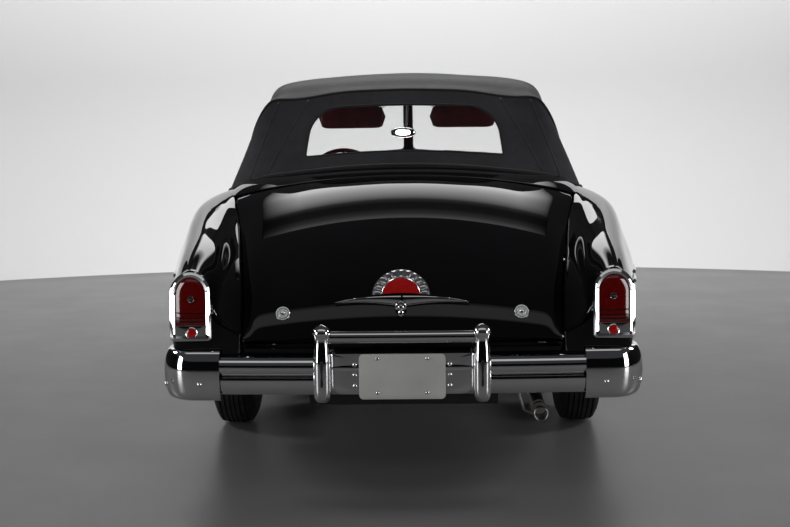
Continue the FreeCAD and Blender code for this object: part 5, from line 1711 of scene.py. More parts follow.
# %% Windshield mouldings, wipers and post cover
SCREEN_HIP, SCREEN_EAR = HEADER_HIP, Vector((0.615, -0.5683, 1.425))
PANE = ((0.022, 0.07), (0.945, 0.09), (0.94, 0.9), (0.022, 0.905))


def on_screen(across, up, out=0.0):
    """A point in front of the screen: shares across it from the middle and up it, and how far out."""
    low, high = HEADER_FOOT.lerp(SCREEN_HIP, across), HEADER_TOP.lerp(SCREEN_EAR, across)
    point = low.lerp(high, up)
    return point - SCREEN_OUT * SCREEN_OUT.dot(point - HEADER_FOOT) + SCREEN_OUT * out


def rounded_loop(corners, radius, steps=7):
    """A closed line through corners, each one rounded."""
    points = []
    for i, corner in enumerate(corners):
        before, after = corners[i - 1], corners[(i + 1) % len(corners)]
        a = corner + (before - corner).normalized() * radius
        b = corner + (after - corner).normalized() * radius
        for t in spread(0, 1, steps):
            points.append(a * (1 - t) ** 2 + corner * (2 * t * (1 - t)) + b * t * t)
    return points


def pane_trim(out, outline, way):
    loop = rounded_loop([on_screen(across, up, out) for across, up in PANE], 0.035)
    return moulding(loop, [SCREEN_OUT * way] * len(loop), outline, closed=True)


bright = both_hands(pane_trim(0.0305, bead(0.0085, 0.005), 1))
post = [Vector((0, p.y, p.z)) for p in (on_screen(0, up, 0.0295) for up in (-0.02, 0.25, 0.5, 0.75, 0.98))]
merge_into(bright, moulding(post, [Vector((0, -0.72, 0.69))] * 5, bead(0.013, 0.006)))
fitted("windshield_bright_mouldings", bright, CHROME, angle=None)
square = [(-0.006, -0.004), (0.006, -0.004), (0.006, 0.009), (-0.006, 0.009)]
gasket = both_hands(pane_trim(0.02, square, 1))
fitted("windshield_rubber", gasket, SEAL_RUBBER)
inner = both_hands(pane_trim(0.0005, bead(0.011, 0.004), -1))
fitted("windshield_inner_mouldings", inner, DASH_ENAMEL, angle=None)


def blade_line(out):
    return [on_screen(across, up, out) for across, up in zip(spread(0.3, 0.88, 12), spread(0.1, 0.12, 12))]


pivot = on_screen(0.38, -0.03, 0.03)
wiper = joined(
    tube([pivot, on_screen(0.39, 0.03, 0.046), on_screen(0.62, 0.1, 0.04), on_screen(0.66, 0.115, 0.031)],
         0.0032, many=8),
    spun([(-0.004, 0.0001), (-0.004, 0.011), (0.01, 0.011), (0.016, 0.007), (0.017, 0.0001)],
         pivot, SCREEN_OUT, 24),
    tube(blade_line(0.029), 0.0035))
fitted("wiper_arms_and_blades", both_hands(wiper), STEEL)
fitted("wiper_rubbers", both_hands(tube(blade_line(0.0225), 0.0028, many=6)), SEAL_RUBBER)
print("windshield trimmed")

# %% Mirror and sun visors
def visor(side):
    """A padded board hung from the header, its lower edge swung towards the driver."""
    rows = []
    for s in spread(0, 1, 20):
        wide = sqrt(max(0.0, 1 - (2 * s - 1) ** 12))
        row = []
        for a in degrees(0, 360, 28)[:-1]:
            up, deep = rounded(sin(a), 0.32) * 0.062 * wide, rounded(cos(a), 0.9) * 0.0085 * wide
            row.append(Vector((side * (0.125 + 0.378 * s), -0.56 + 0.05 * s + deep - 0.1 * up, 1.334 + up)))
        rows.append(row + row[:1])
    return closed_up(sheet_of(rows), ends=False)


visors = joined(visor(1), visor(-1))
visor_board = piece("sun_visors", visors, MAROON_LEATHER)
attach(visor_board, "chassis")
rod = tube(((0.1, -0.61, 1.455), (0.112, -0.585, 1.42), (0.13, -0.572, 1.392), (0.48, -0.524, 1.392)),
           0.0045)
fitted("visor_rods", both_hands(rod), CHROME)

mirror_at = Vector((0.024, -0.45, 1.248))
mirror_out = Vector((0.33, 0.944, -0.027)).normalized()


def oval(centre, out, half_wide, half_high, depths):
    """Oval rings stacked along out: (share of the outline, how far out)."""
    side = UP.cross(out).normalized() * half_wide
    up = out.cross(side).normalized() * half_high
    rows = []
    for share, depth in depths:
        row = [centre + out * depth + (side * rounded(cos(a), 0.8) + up * rounded(sin(a), 0.8)) * share
               for a in degrees(0, 360, 48)[:-1]]
        rows.append(row + row[:1])
    return closed_up(sheet_of(rows), ends=False)


back = oval(mirror_at, mirror_out, 0.073, 0.029,
            ((0.02, -0.022), (0.55, -0.018), (0.88, -0.008), (1.0, 0.0), (1.0, 0.003), (0.96, 0.004),
             (0.955, 0.001), (0.02, 0.001)))
stalk = [mirror_at - mirror_out * 0.016, (0.004, -0.5, 1.3), (0.002, -0.575, 1.4), (0.0, -0.655, 1.452)]
merge_into(back, tube(stalk, 0.0055))
fitted("mirror_shell_and_stalk", back, CHROME)
silver = oval(mirror_at, mirror_out, 0.069, 0.0265,
              ((1.0, 0.0012), (1.0, 0.0022), (0.6, 0.0024), (0.02, 0.0025)))
MIRROR_SILVER = plated("mirror_silver", (0.86, 0.88, 0.88), 0.0, 0.02)
fitted("mirror_glass", silver, MIRROR_SILVER, angle=None)
WINDOW_HEAD = 1.412
bow_wood = [(-0.007, -0.014), (0.007, -0.014), (0.007, 0.014), (-0.007, 0.014)]
bows = bmesh.new()
for y in BOWS:
    whole = mirrored([p for p in top_half(y / 1000, 0.034) if p.z > WINDOW_HEAD])
    merge_into(bows, moulding(whole, [BACK] * len(whole), bow_wood))
fitted("top_bows", bows, CHASSIS)
print("mirror, visors and", len(BOWS), "bows in place")

# %% Finishes for the glass and the frame
def paint(material, *nodes):
    """Gives CAD nodes that keep their own shape a finish."""
    for node in nodes:
        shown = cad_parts[node]
        if not shown.material_slots:
            shown.data.materials.append(material)
        for slot in shown.material_slots:
            slot.link = "OBJECT"
            slot.material = material


paint(GLASS, "fixed_glass", "door_glass_left", "door_glass_right")
paint(BODY_BLACK, "windshield_frame")
print("glass and screen frame finished")

# %% [markdown]
# ## Cabin
# Two wide benches fill the cabin. Each cushion is a smooth form that is remeshed, blown up as cloth with a
# little pressure, and held to a small travel, so its sides belly out and its edges stay soft. The pleats
# and the welts are sewn on after that, because the filling would wipe them out.

# %% Tools: filled cushions
def bench_form(outline, half, ends=0.055, many=41):
    """A side outline of (y, z) points carried across the car, drawn in at both ends."""
    cy = sum(y for y, z in outline) / len(outline)
    cz = sum(z for y, z in outline) / len(outline)
    rows = []
    for a in degrees(0, 180, many - 1):
        x = -half * cos(a)
        e = min(1.0, max(0.0, abs(x) - (half - ends)) / ends)
        s = 1 - 0.42 * (1 - sqrt(max(0, 1 - e * e)))
        row = [Vector((x, cy + (y - cy) * s, cz + (z - cz) * s)) for y, z in outline]
        rows.append(row + row[:1])
    return closed_up(sheet_of(rows))


def filled(made, voxel=0.012, cap=0.022, pressure=4.0):
    """Blows a pad up as cloth, holds every point within cap, and smooths it."""
    remesh = made.modifiers.new("remesh", "REMESH")
    remesh.mode, remesh.voxel_size = "VOXEL", voxel
    apply_all(made)
    start = [v.co.copy() for v in made.data.vertices]
    cloth = made.modifiers.new("filling", "CLOTH")
    cloth.settings.quality = 4
    cloth.settings.mass = 0.4
    cloth.settings.use_pressure = True
    cloth.settings.uniform_pressure_force = pressure
    cloth.settings.effector_weights.gravity = 0
    cloth.point_cache.frame_start, cloth.point_cache.frame_end = 1, 20
    for frame_number in range(1, 21):
        bpy.context.scene.frame_set(frame_number)
    grown = made.evaluated_get(bpy.context.evaluated_depsgraph_get()).data
    moved = [v.co.copy() for v in grown.vertices]
    made.modifiers.clear()
    for vertex, a, b in zip(made.data.vertices, start, moved):
        travel = b - a
        vertex.co = a + travel * min(1.0, cap / max(travel.length, 1e-6))
    bpy.context.scene.frame_set(1)
    smooth = made.modifiers.new("smooth", "SMOOTH")
    smooth.factor, smooth.iterations = 0.5, 4
    finer = made.modifiers.new("finer", "SUBSURF")
    finer.levels = finer.render_levels = 1
    return apply_all(made)

# %% Tools: pleats, welts and a whole pad
def pleat(made, way, half, pitch=0.086, depth=0.007, margin=0.12):
    """Sews straight channels into the side of a pad that looks along way."""
    normals = [v.normal.copy() for v in made.data.vertices]
    for vertex, normal in zip(made.data.vertices, normals):
        facing = normal.dot(way)
        if facing < 0.35 or abs(vertex.co.x) > half - margin:
            continue
        gap = abs((vertex.co.x / pitch) % 1.0 - 0.5) * pitch
        vertex.co -= normal * depth * facing * exp(-(gap / 0.0075) ** 2)
    return made


def welt_on(made, points, radius=0.0045):
    """A round welt laid round a pad along a closed line of points, pulled to its surface."""
    tree = BVHTree.FromObject(made, bpy.context.evaluated_depsgraph_get())
    line = [tree.find_nearest(point)[0] for point in points]
    for _ in range(2):
        line = [(before + p * 2 + after) / 4
                for before, p, after in zip(line[-1:] + line, line, line[1:] + line[:1])]
    return tube(line, radius, closed=True, many=8)


def bench_pad(name, corners, half, radius, way):
    """A filled and pleated pad from its side outline, with a welt at each end."""
    loop = [(p.y, p.z) for p in rounded_loop([Vector((0, y, z)) for y, z in corners], radius)]
    made = filled(piece(name, bench_form(loop, half), MAROON_LEATHER))
    pleat(made, way, half)
    for face in made.data.polygons:
        face.use_smooth = True
    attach(made, "chassis")
    cy, cz = sum(y for y, z in loop) / len(loop), sum(z for y, z in loop) / len(loop)
    around = [(cy + (y - cy) * 1.1, cz + (z - cz) * 1.1) for y, z in loop]
    welts = [welt_on(made, [Vector((x, y, z)) for y, z in around]) for x in (-half + 0.03, half - 0.03)]
    fitted(name + "_welts", joined(*welts), MAROON_TRIM, angle=None)
    return made

# %% Front and rear benches
FORWARD = Vector((0, -1, 0.2)).normalized()
PADS = (("front_cushion", ((-0.262, 0.512), (-0.262, 0.622), (0.2, 0.612), (0.215, 0.512)), 0.672, 0.04, UP),
        ("front_backrest", ((0.205, 0.56), (0.262, 0.985), (0.345, 0.99), (0.32, 0.56)), 0.672, 0.036,
         FORWARD),
        ("rear_cushion", ((0.578, 0.575), (0.578, 0.675), (0.965, 0.662), (0.975, 0.575)), 0.582, 0.036, UP),
        ("rear_backrest", ((0.985, 0.64), (1.028, 1.068), (1.108, 1.072), (1.085, 0.64)), 0.582, 0.034,
         FORWARD))
pads = {row[0]: bench_pad(*row) for row in PADS}
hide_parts("front_seat")
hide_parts("rear_seat")
print("benches filled:", [len(pad.data.polygons) for pad in pads.values()])


def rounded_box(low, high, soft=0.012):
    """A box with softened edges, for seat bases, brackets and boards."""
    bm = bmesh.new()
    bmesh.ops.create_cube(bm, size=1.0)
    middle, size = (Vector(low) + Vector(high)) / 2, Vector(high) - Vector(low)
    for vertex in bm.verts:
        vertex.co = middle + vertex.co * size
    bmesh.ops.bevel(bm, geom=list(bm.edges), offset=soft, segments=3, profile=0.5, affect="EDGES")
    return bm


def boxes(*rows):
    """Several rounded boxes as one form; each row is its low corner, its high corner and its rounding."""
    return joined(*[rounded_box(*row) for row in rows])


base = boxes(((-0.62, -0.235, 0.352), (0.62, 0.215, 0.508), 0.018),
             ((-0.56, 0.6, 0.352), (0.56, 0.85, 0.585), 0.018))
fitted("seat_bases", base, MAROON_TRIM)
trim = tube(((0.655, -0.262, 0.508), (0.668, -0.1, 0.507), (0.668, 0.12, 0.509), (0.664, 0.235, 0.53),
             (0.662, 0.29, 0.6)), 0.0055)
fitted("seat_side_trims", both_hands(trim), CHROME)

# %% Steering wheel: ring, horn ring and cap
paint(WHEEL_PLASTIC, "steering_wheel")
wheel_axis = Vector((0, 0.9419, 0.336)).normalized()
wheel_at = Vector((0.365, -0.468, 0.9383)) + wheel_axis * 0.034
horn = spun([(0.0035 * sin(a), 0.128 + 0.0035 * cos(a)) for a in degrees(0, 360, 10)],
            wheel_at, wheel_axis, 60)
merge_into(horn, spun([(-0.006, 0.0001), (-0.006, 0.036), (0.004, 0.035), (0.011, 0.027), (0.014, 0.012),
                       (0.015, 0.0001)], wheel_at, wheel_axis, 44))
for arm in (-INWARD, INWARD):
    merge_into(horn, tube([wheel_at + arm * 0.03, wheel_at + arm * 0.129], 0.004))
fitted("horn_ring_and_cap", outward(horn), CHROME, body="steering_wheel")
paint(CHASSIS, "column")
print("steering wheel dressed")

# %% [markdown]
# ### Dashboard
# The dash is one enamelled pressing. In front of the driver are two round dials in bright rings, in the
# middle a grille of fine bars over the loudspeaker, and on the far side a glove-box door with a knob.

# %% Dashboard: dials, grille, knobs and glove box
paint(DASH_ENAMEL, "dashboard")
DASH_FACE = -0.7185
DIAL_FACE = enamel("dial_face_enamel", (0.01, 0.01, 0.011), 0.3)
DIAL_MARK = enamel("dial_mark_enamel", (0.7, 0.68, 0.6), 0.4)


def dial(x, z, radius):
    at = Vector((x, DASH_FACE, z))
    ring = spun([(-0.004, radius + 0.006), (0.006, radius + 0.005), (0.009, radius + 0.001),
                 (0.006, radius - 0.003), (0.001, radius - 0.004)], at, BACK, 48)
    face = spun([(0.0015, radius - 0.003), (0.0015, radius * 0.5), (0.0016, TIP)], at, BACK, 48)
    marks = bmesh.new()
    for k in range(19):
        a = radians(225 - 15 * k)
        arm = Vector((cos(a), 0, sin(a))) * radius
        ends = [at + arm * share + BACK * 0.0016 for share in (0.72 if k % 3 else 0.62, 0.84)]
        merge_into(marks, moulding(ends, [BACK, BACK], bead(0.0009, 0.0006)))
    needle = [at + BACK * 0.004 + Vector((cos(2.6), 0, sin(2.6))) * far for far in (0, radius * 0.75)]
    merge_into(marks, moulding(needle, [BACK, BACK], bead(0.0011, 0.0008)))
    return ring, face, marks


DIALS = ((0.468, 0.89, 0.05), (0.262, 0.89, 0.05), (0.0, 0.925, 0.03))
KNOBS = (0.56, 0.17, 0.1, -0.1, -0.17)
rings, faces, marks = (joined(*made) for made in zip(*[dial(*row) for row in DIALS]))
for x in KNOBS:
    merge_into(rings, spun([(-0.004, 0.006), (0.01, 0.006), (0.012, 0.013), (0.02, 0.013), (0.023, 0.009),
                            (0.024, TIP)], (x, DASH_FACE, 0.835), BACK, 24))
for x in spread(-0.078, 0.078, 12):
    ends = [Vector((x, DASH_FACE, 0.822)), Vector((x, DASH_FACE, 0.882))]
    merge_into(rings, moulding(ends, [BACK, BACK], bead(0.0028, 0.0035)))
box_corners = ((-0.22, 0.832), (-0.56, 0.832), (-0.56, 0.935), (-0.22, 0.935))
box_loop = rounded_loop([Vector((x, DASH_FACE, z)) for x, z in box_corners], 0.02)
merge_into(rings, moulding(box_loop, [BACK] * len(box_loop), bead(0.0024, 0.0022), closed=True))
strip = [Vector((x, DASH_FACE, 0.958)) for x in spread(-0.62, 0.62, 20)]
merge_into(rings, moulding(strip, [BACK] * 21, bead(0.0065, 0.0045)))
fitted("dash_bright_parts", rings, CHROME)
fitted("dial_faces", faces, DIAL_FACE)
fitted("dial_marks", marks, DIAL_MARK)
print("dash carries", len(DIALS), "dials and", len(KNOBS), "knobs")

# %% [markdown]
# ## Front end
# No view of this car's front was at hand, so it follows what cars of this kind and time carry: a
# bumper like the rear one, a low grille of upright bars under a thick rail, round lamps with fluted
# glasses, small parking lamps, and a plain spear along the hood.

# %% Front bumper and plate bracket
bar = bumper_chrome(-2.564, -1, 0.93, 0.372, 0.512, 0.3, 0.36, 0.64)
merge_into(bar, rounded_panel(0.15, 0.398, 0.486, -2.568, 0.003, 0.006, 0.006))
fitted("front_bumper_chrome", bar, CHROME, replaces=["front_bumper"], angle=42)
fitted("front_guard_pads", guard_pads(0.3, -2.564, -1, 0.418, 0.512), SEAL_RUBBER, angle=None)
print("front bumper fitted")

# %% [markdown]
# ### Pieces that repeat along a line
# Grille bars are the same small piece many times over. A small Geometry Nodes tree sets one unit at even
# steps along a line.

# %% Tool: one small piece repeated along a line
def repeating_tree():
    tree = bpy.data.node_groups.new("repeat_along_line", "GeometryNodeTree")
    for name, way, kind in (("Line", "INPUT", "Geometry"), ("Unit", "INPUT", "Object"),
                            ("Step", "INPUT", "Float"), ("Finish", "INPUT", "Material"),
                            ("Pieces", "OUTPUT", "Geometry")):
        tree.interface.new_socket(name, in_out=way, socket_type="NodeSocket" + kind)
    source, result, curve, points, unit, placed, real, finish = (
        tree.nodes.new(kind) for kind in
        ("NodeGroupInput", "NodeGroupOutput", "GeometryNodeMeshToCurve", "GeometryNodeCurveToPoints",
         "GeometryNodeObjectInfo", "GeometryNodeInstanceOnPoints", "GeometryNodeRealizeInstances",
         "GeometryNodeSetMaterial"))
    points.mode = "LENGTH"
    for start, out, end, into in (
            (source, "Line", curve, "Mesh"), (curve, "Curve", points, "Curve"),
            (source, "Step", points, "Length"), (source, "Unit", unit, "Object"),
            (points, "Points", placed, "Points"), (unit, "Geometry", placed, "Instance"),
            (placed, "Instances", real, "Geometry"), (real, "Geometry", finish, "Geometry"),
            (source, "Finish", finish, "Material"), (finish, "Geometry", result, "Pieces")):
        tree.links.new(start.outputs[out], end.inputs[into])
    return tree


def repeated(name, line, unit, step, material):
    """Copies of a small mesh at even steps along a line of points, as one finished piece."""
    unit_piece = piece(name + "_unit", unit, material, angle=40)
    carrier = bpy.data.meshes.new(name)
    carrier.from_pydata([tuple(p) for p in line], [(i, i + 1) for i in range(len(line) - 1)], [])
    made = bpy.data.objects.new(name, carrier)
    bpy.context.scene.collection.objects.link(made)
    nodes = made.modifiers.new("repeat", "NODES")
    nodes.node_group = repeating_tree()
    inputs = {"Unit": unit_piece, "Step": step, "Finish": material}
    for item in nodes.node_group.interface.items_tree:
        if item.name in inputs:
            nodes[item.identifier] = inputs[item.name]
    bpy.context.view_layer.update()
    apply_all(made)
    bpy.data.objects.remove(unit_piece)
    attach(made, "chassis")
    return made

# %% Grille: rails, bars and surround
roll = [(0.01 * cos(a), 0.614 + 0.022 * sin(a)) for a in degrees(-70, 70, 12)]
upper = section_along(bar_path(0.498, -2.545, -0.018),
                      [(-0.03, 0.588), (-0.004, 0.592)] + roll + [(-0.004, 0.636), (-0.03, 0.64)])
lower = section_along(bar_path(0.505, -2.536, -0.016),
                      [(-0.02, 0.536), (0.0, 0.539), (0.004, 0.549), (0.0, 0.559), (-0.02, 0.562)])
corners = ((-0.516, 0.528), (0.516, 0.528), (0.516, 0.69), (-0.516, 0.69))
mouth = rounded_loop([Vector((x, -2.53, z)) for x, z in corners], 0.034)
rim = moulding(mouth, [FORE] * len(mouth), bead(0.009, 0.008, 0.012), closed=True)
fitted("grille_rails", joined(upper, lower, rim), CHROME, replaces=["grille"], angle=42)
bar_section = [(0.01 * cos(a), 0.012 * sin(a)) for a in degrees(180, 0, 8)]
bar = moulding([UP * z for z in spread(-0.066, 0.066, 6)], [FORE] * 7,
               [(-0.008, -0.02)] + bar_section + [(0.008, -0.02)])
bar_line = [Vector((0.462 * s, -2.528 + 0.01 * s * s, 0.61)) for s in spread(-1, 1, 40)]
bars = repeated("grille_bars", bar_line, bar, 0.0659, CHROME)
fitted("grille_backing", rounded_panel(0.505, 0.534, 0.686, -2.51, 0.003, 0.02, 0.02), CHASSIS)
print("grille bars:", len(bars.data.polygons), "faces")

# %% Headlamps and parking lamps
def lamp_set(x, y, z, radius, bowl):
    at = Vector((x, y, z))
    rim = spun([(-0.045, radius - 0.006), (-0.012, radius), (0.004, radius - 0.001), (0.013, radius - 0.006),
                (0.017, radius - 0.012), (0.015, radius - 0.018), (0.006, radius - 0.021)], at, FORE, 64)
    inner = spun([(-bowl, 0.0001), (-bowl, 0.018), (-bowl * 0.75, radius * 0.5),
                  (-bowl * 0.3, radius * 0.82), (0.004, radius - 0.018)], at, FORE, 48)
    rows = []
    for s in map(sin, degrees(90, 0, 12)):
        far, out = (radius - 0.017) * s, 0.01 + radius * 0.24 * (1 - s * s)
        rows.append([at + Vector((cos(a) * far, -out, sin(a) * far)) for a in degrees(0, 360, 64)])
    glass = sheet_of(rows)
    bmesh.ops.remove_doubles(glass, verts=glass.verts, dist=1e-5)
    return rim, inner, outward_to(glass, FORE)


lamps = [lamp_set(x, -2.494, z, radius, bowl)
         for x, z, radius, bowl in ((0.722, 0.772, 0.104, 0.045), (0.7, 0.6, 0.036, 0.012))]
rims, bowls, glasses = (joined(*made) for made in zip(*lamps))
fitted("front_lamp_rims", both_hands(rims), CHROME, replaces=["headlamps"])
fitted("front_lamp_bowls", both_hands(bowls), MIRROR_SILVER, angle=None)
fluted_glass = Finish("fluted_lamp_glass").set(Transmission_Weight=1.0, IOR=1.3)
bands = fluted_glass.node("ShaderNodeTexWave", wave_type="BANDS", bands_direction="X")
bands.inputs["Scale"].default_value = 26.0
fluted_glass.wire(fluted_glass.place, bands.inputs["Vector"])
fluted_glass.feed("Roughness", fluted_glass.ramp(fluted_glass.noise(30), 0.02, 0.06))
fluted_glass.bump(bands.outputs["Fac"], 1.2, 0.7)
lamp_glass = piece("front_lamp_glasses", both_hands(glasses), fluted_glass.material)
thicken(lamp_glass, 0.003)
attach(lamp_glass, "chassis")
paint(BODY_BLACK, "front_panel", "tail_panel")
print("lamps: 2 head, 2 parking")

# %% Hood spear
def hood_top(y):
    mark = HOOD.mark_of(y)
    return Vector((0, y, HOOD.at("crown", mark) / 1000))


spear = [hood_top(y) for y in spread(-2.525, -1.1, 60)]
bm = moulding(spear, [UP] * 61, bead(0.009, 0.006, 0.002))
nose = []
for s in spread(0, 1, 24):
    at = hood_top(-2.5 + 0.36 * s)
    high = 0.006 + 0.05 * sin(pi * min(1, s * 1.02 + 0.03)) ** 0.8 * (1 - 0.5 * s)
    half = 0.016 * (1 - 0.8 * s) + 0.002
    row = [at + Vector((half * cos(a), 0, -0.002 + high * max(0, sin(a)) ** 0.7))
           for a in degrees(0, 180, 12)]
    nose.append(row + row[:1])
ornament = sheet_of(nose)
bmesh.ops.remove_doubles(ornament, verts=ornament.verts, dist=1e-5)
bmesh.ops.holes_fill(ornament, edges=[edge for edge in ornament.edges if edge.is_boundary])
merge_into(bm, outward(ornament))
fitted("hood_spear", bm, CHROME, body="hood", angle=None)
print("hood spear is", round((spear[-1] - spear[0]).length, 2), "m long")

# %% [markdown]
# ## Sides
# A slim bright spear runs along fender, door and quarter, and each panel carries its own length of it, so
# the doors open cleanly. Pull handles with a push button sit on the doors, and three short bright bars
# mark the quarter ahead of the tail.

# %% Tools: the side's surface
def side_face(y, z, out=0.0):
    """The left side's outer surface at y and z, and the way out of it."""
    section = side_section(y)
    for a, b in zip(section, section[1:]):
        if a.z <= z <= b.z and b.z > a.z:
            point = a.lerp(b, (z - a.z) / (b.z - a.z))
            way = Vector((b.z - a.z, 0, a.x - b.x)).normalized()
            return point + way * out, way
    return section[0], Vector((1, 0, 0))


def side_strip(y_low, y_high, z, outline, steps=60):
    points, ups = zip(*[side_face(y, z) for y in spread(y_low, y_high, steps)])
    return moulding(points, ups, outline)

# %% Side spears, handles and quarter bars
SPEAR = bead(0.0125, 0.0046, 0.0015)
SPEAR_Z, HANDLE_HEIGHT = 0.64, 0.868


def body_trim():
    """The spear's lengths on fender and quarter, and the three short bars ahead of the tail."""
    runs = [side_strip(low, high, SPEAR_Z, SPEAR) for low, high in ((-2.33, -2.15), (-1.35, -0.893),
                                                                   (0.512, 0.83))]
    bars = [side_strip(1.66, 1.84, z, bead(0.0085, 0.008, 0.002), 16) for z in (0.668, 0.706, 0.744)]
    return joined(*runs, *bars)


def door_trim():
    """The door's length of spear, its pull handle on two roses, and the push button."""
    grip, _ = side_face(0.3, HANDLE_HEIGHT, 0.02)
    near, way = side_face(0.395, HANDLE_HEIGHT)
    far, _ = side_face(0.205, HANDLE_HEIGHT)
    button, button_way = side_face(0.44, HANDLE_HEIGHT)
    pull = through([near, near + way * 0.022 - BACK * 0.02, grip + way * 0.006,
                    far + way * 0.022 + BACK * 0.02, far], [6, 8, 8, 6])
    return joined(
        side_strip(-0.868, 0.49, SPEAR_Z, SPEAR), tube(pull, 0.0075, many=14),
        spun([(-0.002, 0.019), (0.003, 0.018), (0.006, 0.013), (0.007, 0.0001)], near, way, 28),
        spun([(-0.002, 0.015), (0.003, 0.014), (0.005, 0.01), (0.006, 0.0001)], far, way, 28),
        spun([(-0.002, 0.013), (0.004, 0.0125), (0.006, 0.009), (0.009, 0.009), (0.011, 0.0001)],
             button, button_way, 28))


for side in ("left", "right"):
    for name, make, body in (("chassis", body_trim, "chassis"), ("door", door_trim, f"door_{side}")):
        bm = make() if side == "left" else mirror_copy(make())
        fitted(f"{name}_bright_trim_{side}", bm, CHROME, body=body, angle=45)
print("side trim rides on chassis and doors")

# %% Remaining finishes
FRAME_PAINT = enamel("frame_paint", (0.01, 0.01, 0.01), 0.42)
AXLE_PAINT = enamel("axle_paint", (0.016, 0.015, 0.014), 0.5)
RADIATOR_CORE = plated("radiator_core", (0.16, 0.15, 0.13), 0.45, 0.65, 8, 0.3)
paint(FRAME_PAINT, "frame", "front_suspension")
paint(AXLE_PAINT, "rear_axle", "knuckle_left", "knuckle_right", "fuel_tank")
paint(ENGINE_PAINT, "engine")
paint(RADIATOR_CORE, "radiator")
paint(STEEL, "exhaust")
paint(CHASSIS, "floor_pan")
print("running gear and floor finished")
# %% [markdown]
# ### Engine bay
# Under the hood sits an engine with two banks of cylinders in a V: a crankcase, two heads held by rows of
# bolts, an intake between them with a round air cleaner, and a fan driven by a belt. Rounded boxes and
# turned forms are enough, because each real part is a casting or a pressing of just such a shape.

# %% Crankcase, banks, gearbox and feet
BLOCK_X, BLOCK_FRONT, BLOCK_BACK = 0.15, -1.985, -1.36
castings = boxes(((-BLOCK_X, BLOCK_FRONT, 0.425), (BLOCK_X, BLOCK_BACK, 0.64), 0.02),
                 ((-0.12, -1.95, 0.334), (0.12, -1.4, 0.435), 0.03))
gearbox = [(0.0, 0.155), (0.05, 0.16), (0.16, 0.11), (0.45, 0.085), (0.62, 0.06), (0.655, TIP)]
merge_into(castings, spun(gearbox, (0, -1.365, 0.445), BACK, 36))
for x in (-1, 1):
    joined(castings, moved(rounded_box((-0.065, -1.7, 0.341), (0.065, -1.64, 0.397), 0.008), x=x * 0.3),
           moved(rounded_box((-0.055, -1.69, 0.385), (0.055, -1.65, 0.47), 0.008), x=x * 0.19))


def on_bank(bm, side):
    """Turns a form that stands upright over the middle so that it lies on one bank of the V."""
    turn = Matrix.Translation((side * 0.075, 0, 0.565)) @ Matrix.Rotation(side * radians(45), 4, "Y")
    bmesh.ops.transform(bm, verts=bm.verts, matrix=turn)
    return bm


bolts = bmesh.new()
for side in (-1, 1):
    bank = boxes(((-0.072, -1.96, 0.0), (0.072, -1.385, 0.15), 0.012),
                 ((-0.066, -1.95, 0.146), (0.066, -1.395, 0.178), 0.008))
    merge_into(castings, on_bank(bank, side))
    for across in (-0.052, 0.0, 0.052):
        for k in range(8):
            bolt = dome_bolt((across, -1.925 + 0.072 * k, 0.178), UP, 0.0095, 0.008)
            merge_into(bolts, on_bank(bolt, side))
merge_into(castings, rounded_box((-0.062, -1.9, 0.635), (0.062, -1.44, 0.715), 0.016))
fitted("engine_castings", castings, ENGINE_PAINT, replaces=["engine"])
fitted("engine_head_bolts", bolts, STEEL)
print("engine block is", round(BLOCK_BACK - BLOCK_FRONT, 3), "m long")

# %% Air cleaner, generator, pulleys, fan, hoses and manifolds
black_parts = joined(
    spun([(0.0, 0.045), (0.03, 0.05), (0.034, 0.128), (0.044, 0.138), (0.072, 0.14), (0.084, 0.128),
          (0.092, 0.04), (0.093, TIP)], (0, -1.65, 0.752), UP, 56),
    spun([(0.0, TIP), (0.001, 0.045), (0.02, 0.052), (0.15, 0.052), (0.168, 0.04), (0.17, TIP)],
         (0.235, -1.99, 0.6), BACK, 36))
PULLEYS = ((0.0, 0.47, 0.08), (0.0, 0.64, 0.06), (0.235, 0.6, 0.038))
for x, z, radius in PULLEYS:
    groove = [(-0.002, TIP), (-0.002, radius), (0.004, radius + 0.004), (0.01, radius - 0.006),
              (0.016, radius + 0.004), (0.022, radius), (0.022, TIP)]
    merge_into(black_parts, spun(groove, (x, -2.022, z), BACK, 40))
merge_into(black_parts, boxes(((0.3, -1.42, 0.562), (0.46, -1.2, 0.752), 0.008),
                              ((0.285, -1.435, 0.548), (0.475, -1.15, 0.56), 0.004),
                              ((-0.64, -1.15, 0.885), (0.64, -1.038, 0.891), 0.002),
                              ((-0.64, -1.042, 0.885), (0.64, -1.036, 1.01), 0.002)))
fitted("engine_black_parts", black_parts, BODY_BLACK)

fan = bmesh.new()
for k in range(4):
    blade = rounded_box((-0.042, -0.0015, 0.03), (0.042, 0.0015, 0.185), 0.0012)
    pitch = Matrix.Rotation(radians(28), 4, "Z")
    spoke = Matrix.Translation(Vector((0, -2.052, 0.64))) @ Matrix.Rotation(pi / 2 * k + 0.4, 4, "Y")
    bmesh.ops.transform(blade, verts=blade.verts, matrix=spoke @ pitch)
    merge_into(fan, blade)
hub = spun([(-0.018, TIP), (-0.018, 0.036), (0.02, 0.042), (0.03, 0.03), (0.034, TIP)],
           (0, -2.054, 0.64), BACK, 32)
manifold = tube(((0.255, -1.9, 0.6), (0.29, -1.64, 0.59), (0.262, -1.4, 0.54), (0.215, -1.3, 0.42)),
                0.026, many=20)
neck = spun([(0.0, 0.042), (0.02, 0.036), (0.045, 0.038), (0.05, 0.046)], (0, -1.65, 0.708), UP, 32)
joined(fan, hub, both_hands(manifold), neck)
fitted("engine_fan_and_manifolds", fan, STEEL)

